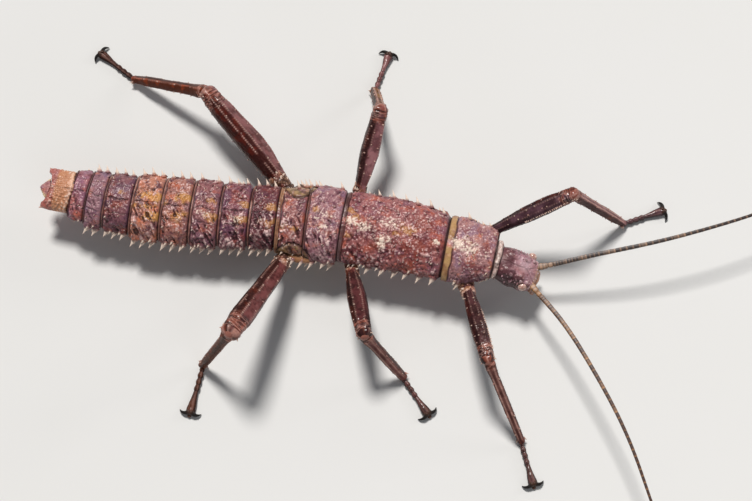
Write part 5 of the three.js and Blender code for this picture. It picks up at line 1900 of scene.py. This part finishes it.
def soft_skin(seed):
    """One soft skin inside the plates, bare at the neck, where it folds round a pale collar."""
    start, end = span["neck"][0] - NECK_CUT, span["neck"][1] - 0.5
    rear = span[PLATES[1]][0]
    around = circle(140)
    s, angle = sheet(np.linspace(rear + 0.5, end, int((end - rear) / 0.14)), around)
    stations, reaches = trunk_reaches()
    whole_turn = np.append(circle(48), TURN)
    at = np.array([np.interp(around, whole_turn, np.append(row, row[0])) for row in reaches])
    width = np.stack([np.interp(s[:, 0], stations, column) for column in at.T], -1)
    bare = ease(s, start - 0.5, start + 0.1)
    sway = 0.08 * cloud(flat(angle * 3), 1.2, seed)
    collar = hump(s + sway, start + 0.62, 0.42)
    folds = hump(s + sway, start + 0.05, 0.13) + ease(s + sway, end - 0.2, end)
    back = ease(np.sin(angle), -0.2, 0.1)
    bumps = cloud(flat(s * 2.2, angle * 5.5), 1, seed + 1, 2)
    width = width + bare * (0.24 * collar * back - 0.34 * folds + 0.5 * bumps * collar)
    pale = bare * collar * back * (0.75 + 0.5 * bumps)
    # Painted shade: near black under the plates and in the folds at both ends of the neck.
    marks = layer(0, pale, most(1 - bare, bare * folds * 0.95))
    relief = layer(0.5 + 0.3 * bumps * bare, 0, 0)
    ends = [(0.05, 0.9), (0.1, 0.5), (0.1, 0)]
    shape = closed_skin(course, s[:, 0], course.spot(s, angle, width), marks, relief, ends, ends)
    finished("soft_skin", shape, membrane(), "membrane", "neck")


def membrane():
    """Soft folded skin: brown, pinkish white on the collar, and near black as painted shade where it is
    tucked under the plates and in its folds.
    """
    finish = Finish("membrane_skin", (0.26, 0.12, 0.1), Specular_IOR_Level=0.45)
    _, pale, seam = finish.painted("marks")
    middling = finish.noise(0.7, 11, 4, 0.6)
    fine = finish.noise(0.2, 12, 3)
    finish.over(middling.between(0.4, 0.65), (0.12, 0.05, 0.05))
    finish.over((pale * (0.5 + fine)).kept(), (1, 0.84, 0.76))
    finish.over((pale * middling.between(0.46, 0.6)) * 0.8, (0.42, 0.2, 0.17))
    finish.over(seam, (0.016, 0.007, 0.007))
    finish.bump(fine + middling, 0.06, 0.8)
    return finish.done(0.42 + 0.2 * fine)


soft_skin(700)


# -------- stage, lamps and camera


def lamp(name, kind, way, **settings):
    """A lamp with its settings, shining back along a direction."""
    light = bpy.data.lights.new(name, kind)
    for setting, value in settings.items():
        setattr(light, setting, value)
    thing = bpy.data.objects.new(name, light)
    thing.rotation_euler = (-Vector(way)).to_track_quat("-Z", "Y").to_euler()
    bpy.context.scene.collection.objects.link(thing)
    return thing


def area_lamp(name, place, aim, size, power, colour=(1, 1, 1)):
    """A round lamp at a place, aimed at another."""
    way = Vector(place) - Vector(aim)
    lamp(name, "AREA", way, shape="DISK", size=size, energy=power, color=colour).location = place


def studio_world():
    """Dim light from all round, in front of a plain backdrop as pale as the floor."""
    world = bpy.data.worlds.new("studio")
    world.use_nodes = True
    nodes, links = world.node_tree.nodes, world.node_tree.links
    light, ray = nodes["Background"], nodes.new("ShaderNodeLightPath")
    light.inputs[0].default_value = (0.9, 0.93, 1, 1)
    light.inputs[1].default_value = 0.15
    backdrop, mix = nodes.new("ShaderNodeBackground"), nodes.new("ShaderNodeMixShader")
    backdrop.inputs[0].default_value = (0.758, 0.744, 0.722, 1)
    links.new(ray.outputs["Is Camera Ray"], mix.inputs[0])
    links.new(light.outputs[0], mix.inputs[1])
    links.new(backdrop.outputs[0], mix.inputs[2])
    links.new(mix.outputs[0], nodes["World Output"].inputs["Surface"])
    bpy.context.scene.world = world


def set_camera():
    """Looks down on the insect's back from its right side, with its whole body in view."""
    azimuth, elevation = math.radians(8), math.radians(72)
    lens, sensor, view_width = 85, 36, 0.1489
    ahead, aside, height = 0.0072, -0.00383, 0.008  # of what it looks at, from the mesothorax's hinge
    hinge = trunk.middle(np.array(span["mesothorax"][0])) * METRES
    target = Vector((hinge[0] + ahead, hinge[1] + aside, height))
    level = math.cos(elevation)
    back = Vector((math.sin(azimuth) * level, -math.cos(azimuth) * level, math.sin(elevation)))
    data = bpy.data.cameras.new("camera")
    data.lens = lens
    data.sensor_width = sensor
    data.clip_start = 0.01
    camera = bpy.data.objects.new("camera", data)
    camera.location = target + back * (view_width * lens / sensor)
    camera.rotation_euler = (-back).to_track_quat("-Z", "Y").to_euler()
    bpy.context.scene.collection.objects.link(camera)
    bpy.context.scene.camera = camera
    return target


def floor():
    """A wide, matt, pale floor."""
    shape = bmesh.new()
    bmesh.ops.create_circle(shape, cap_ends=True, segments=96, radius=3)
    mesh = bpy.data.meshes.new("floor")
    shape.to_mesh(mesh)
    shape.free()
    finish = Finish("floor_paint", (0.78, 0.78, 0.76), Specular_IOR_Level=0.2)
    finish.over(finish.noise(40, 5, 2), (0.8, 0.8, 0.79))
    mesh.materials.append(finish.done(0.9))
    ground = bpy.data.objects.new("floor", mesh)
    bpy.context.scene.collection.objects.link(ground)


floor()
middle = set_camera()
lamp("key", "SUN", (-0.17, 0.38, 0.76), angle=math.radians(13), energy=3, color=(1, 0.97, 0.94))
area_lamp("fill", (0.35, -0.45, 0.45), middle, 0.5, 0.35, (0.94, 0.97, 1))
area_lamp("front", (0.5, 0.3, 0.25), middle, 0.2, 0.4)
studio_world()
bpy.context.scene.view_settings.view_transform = "Standard"
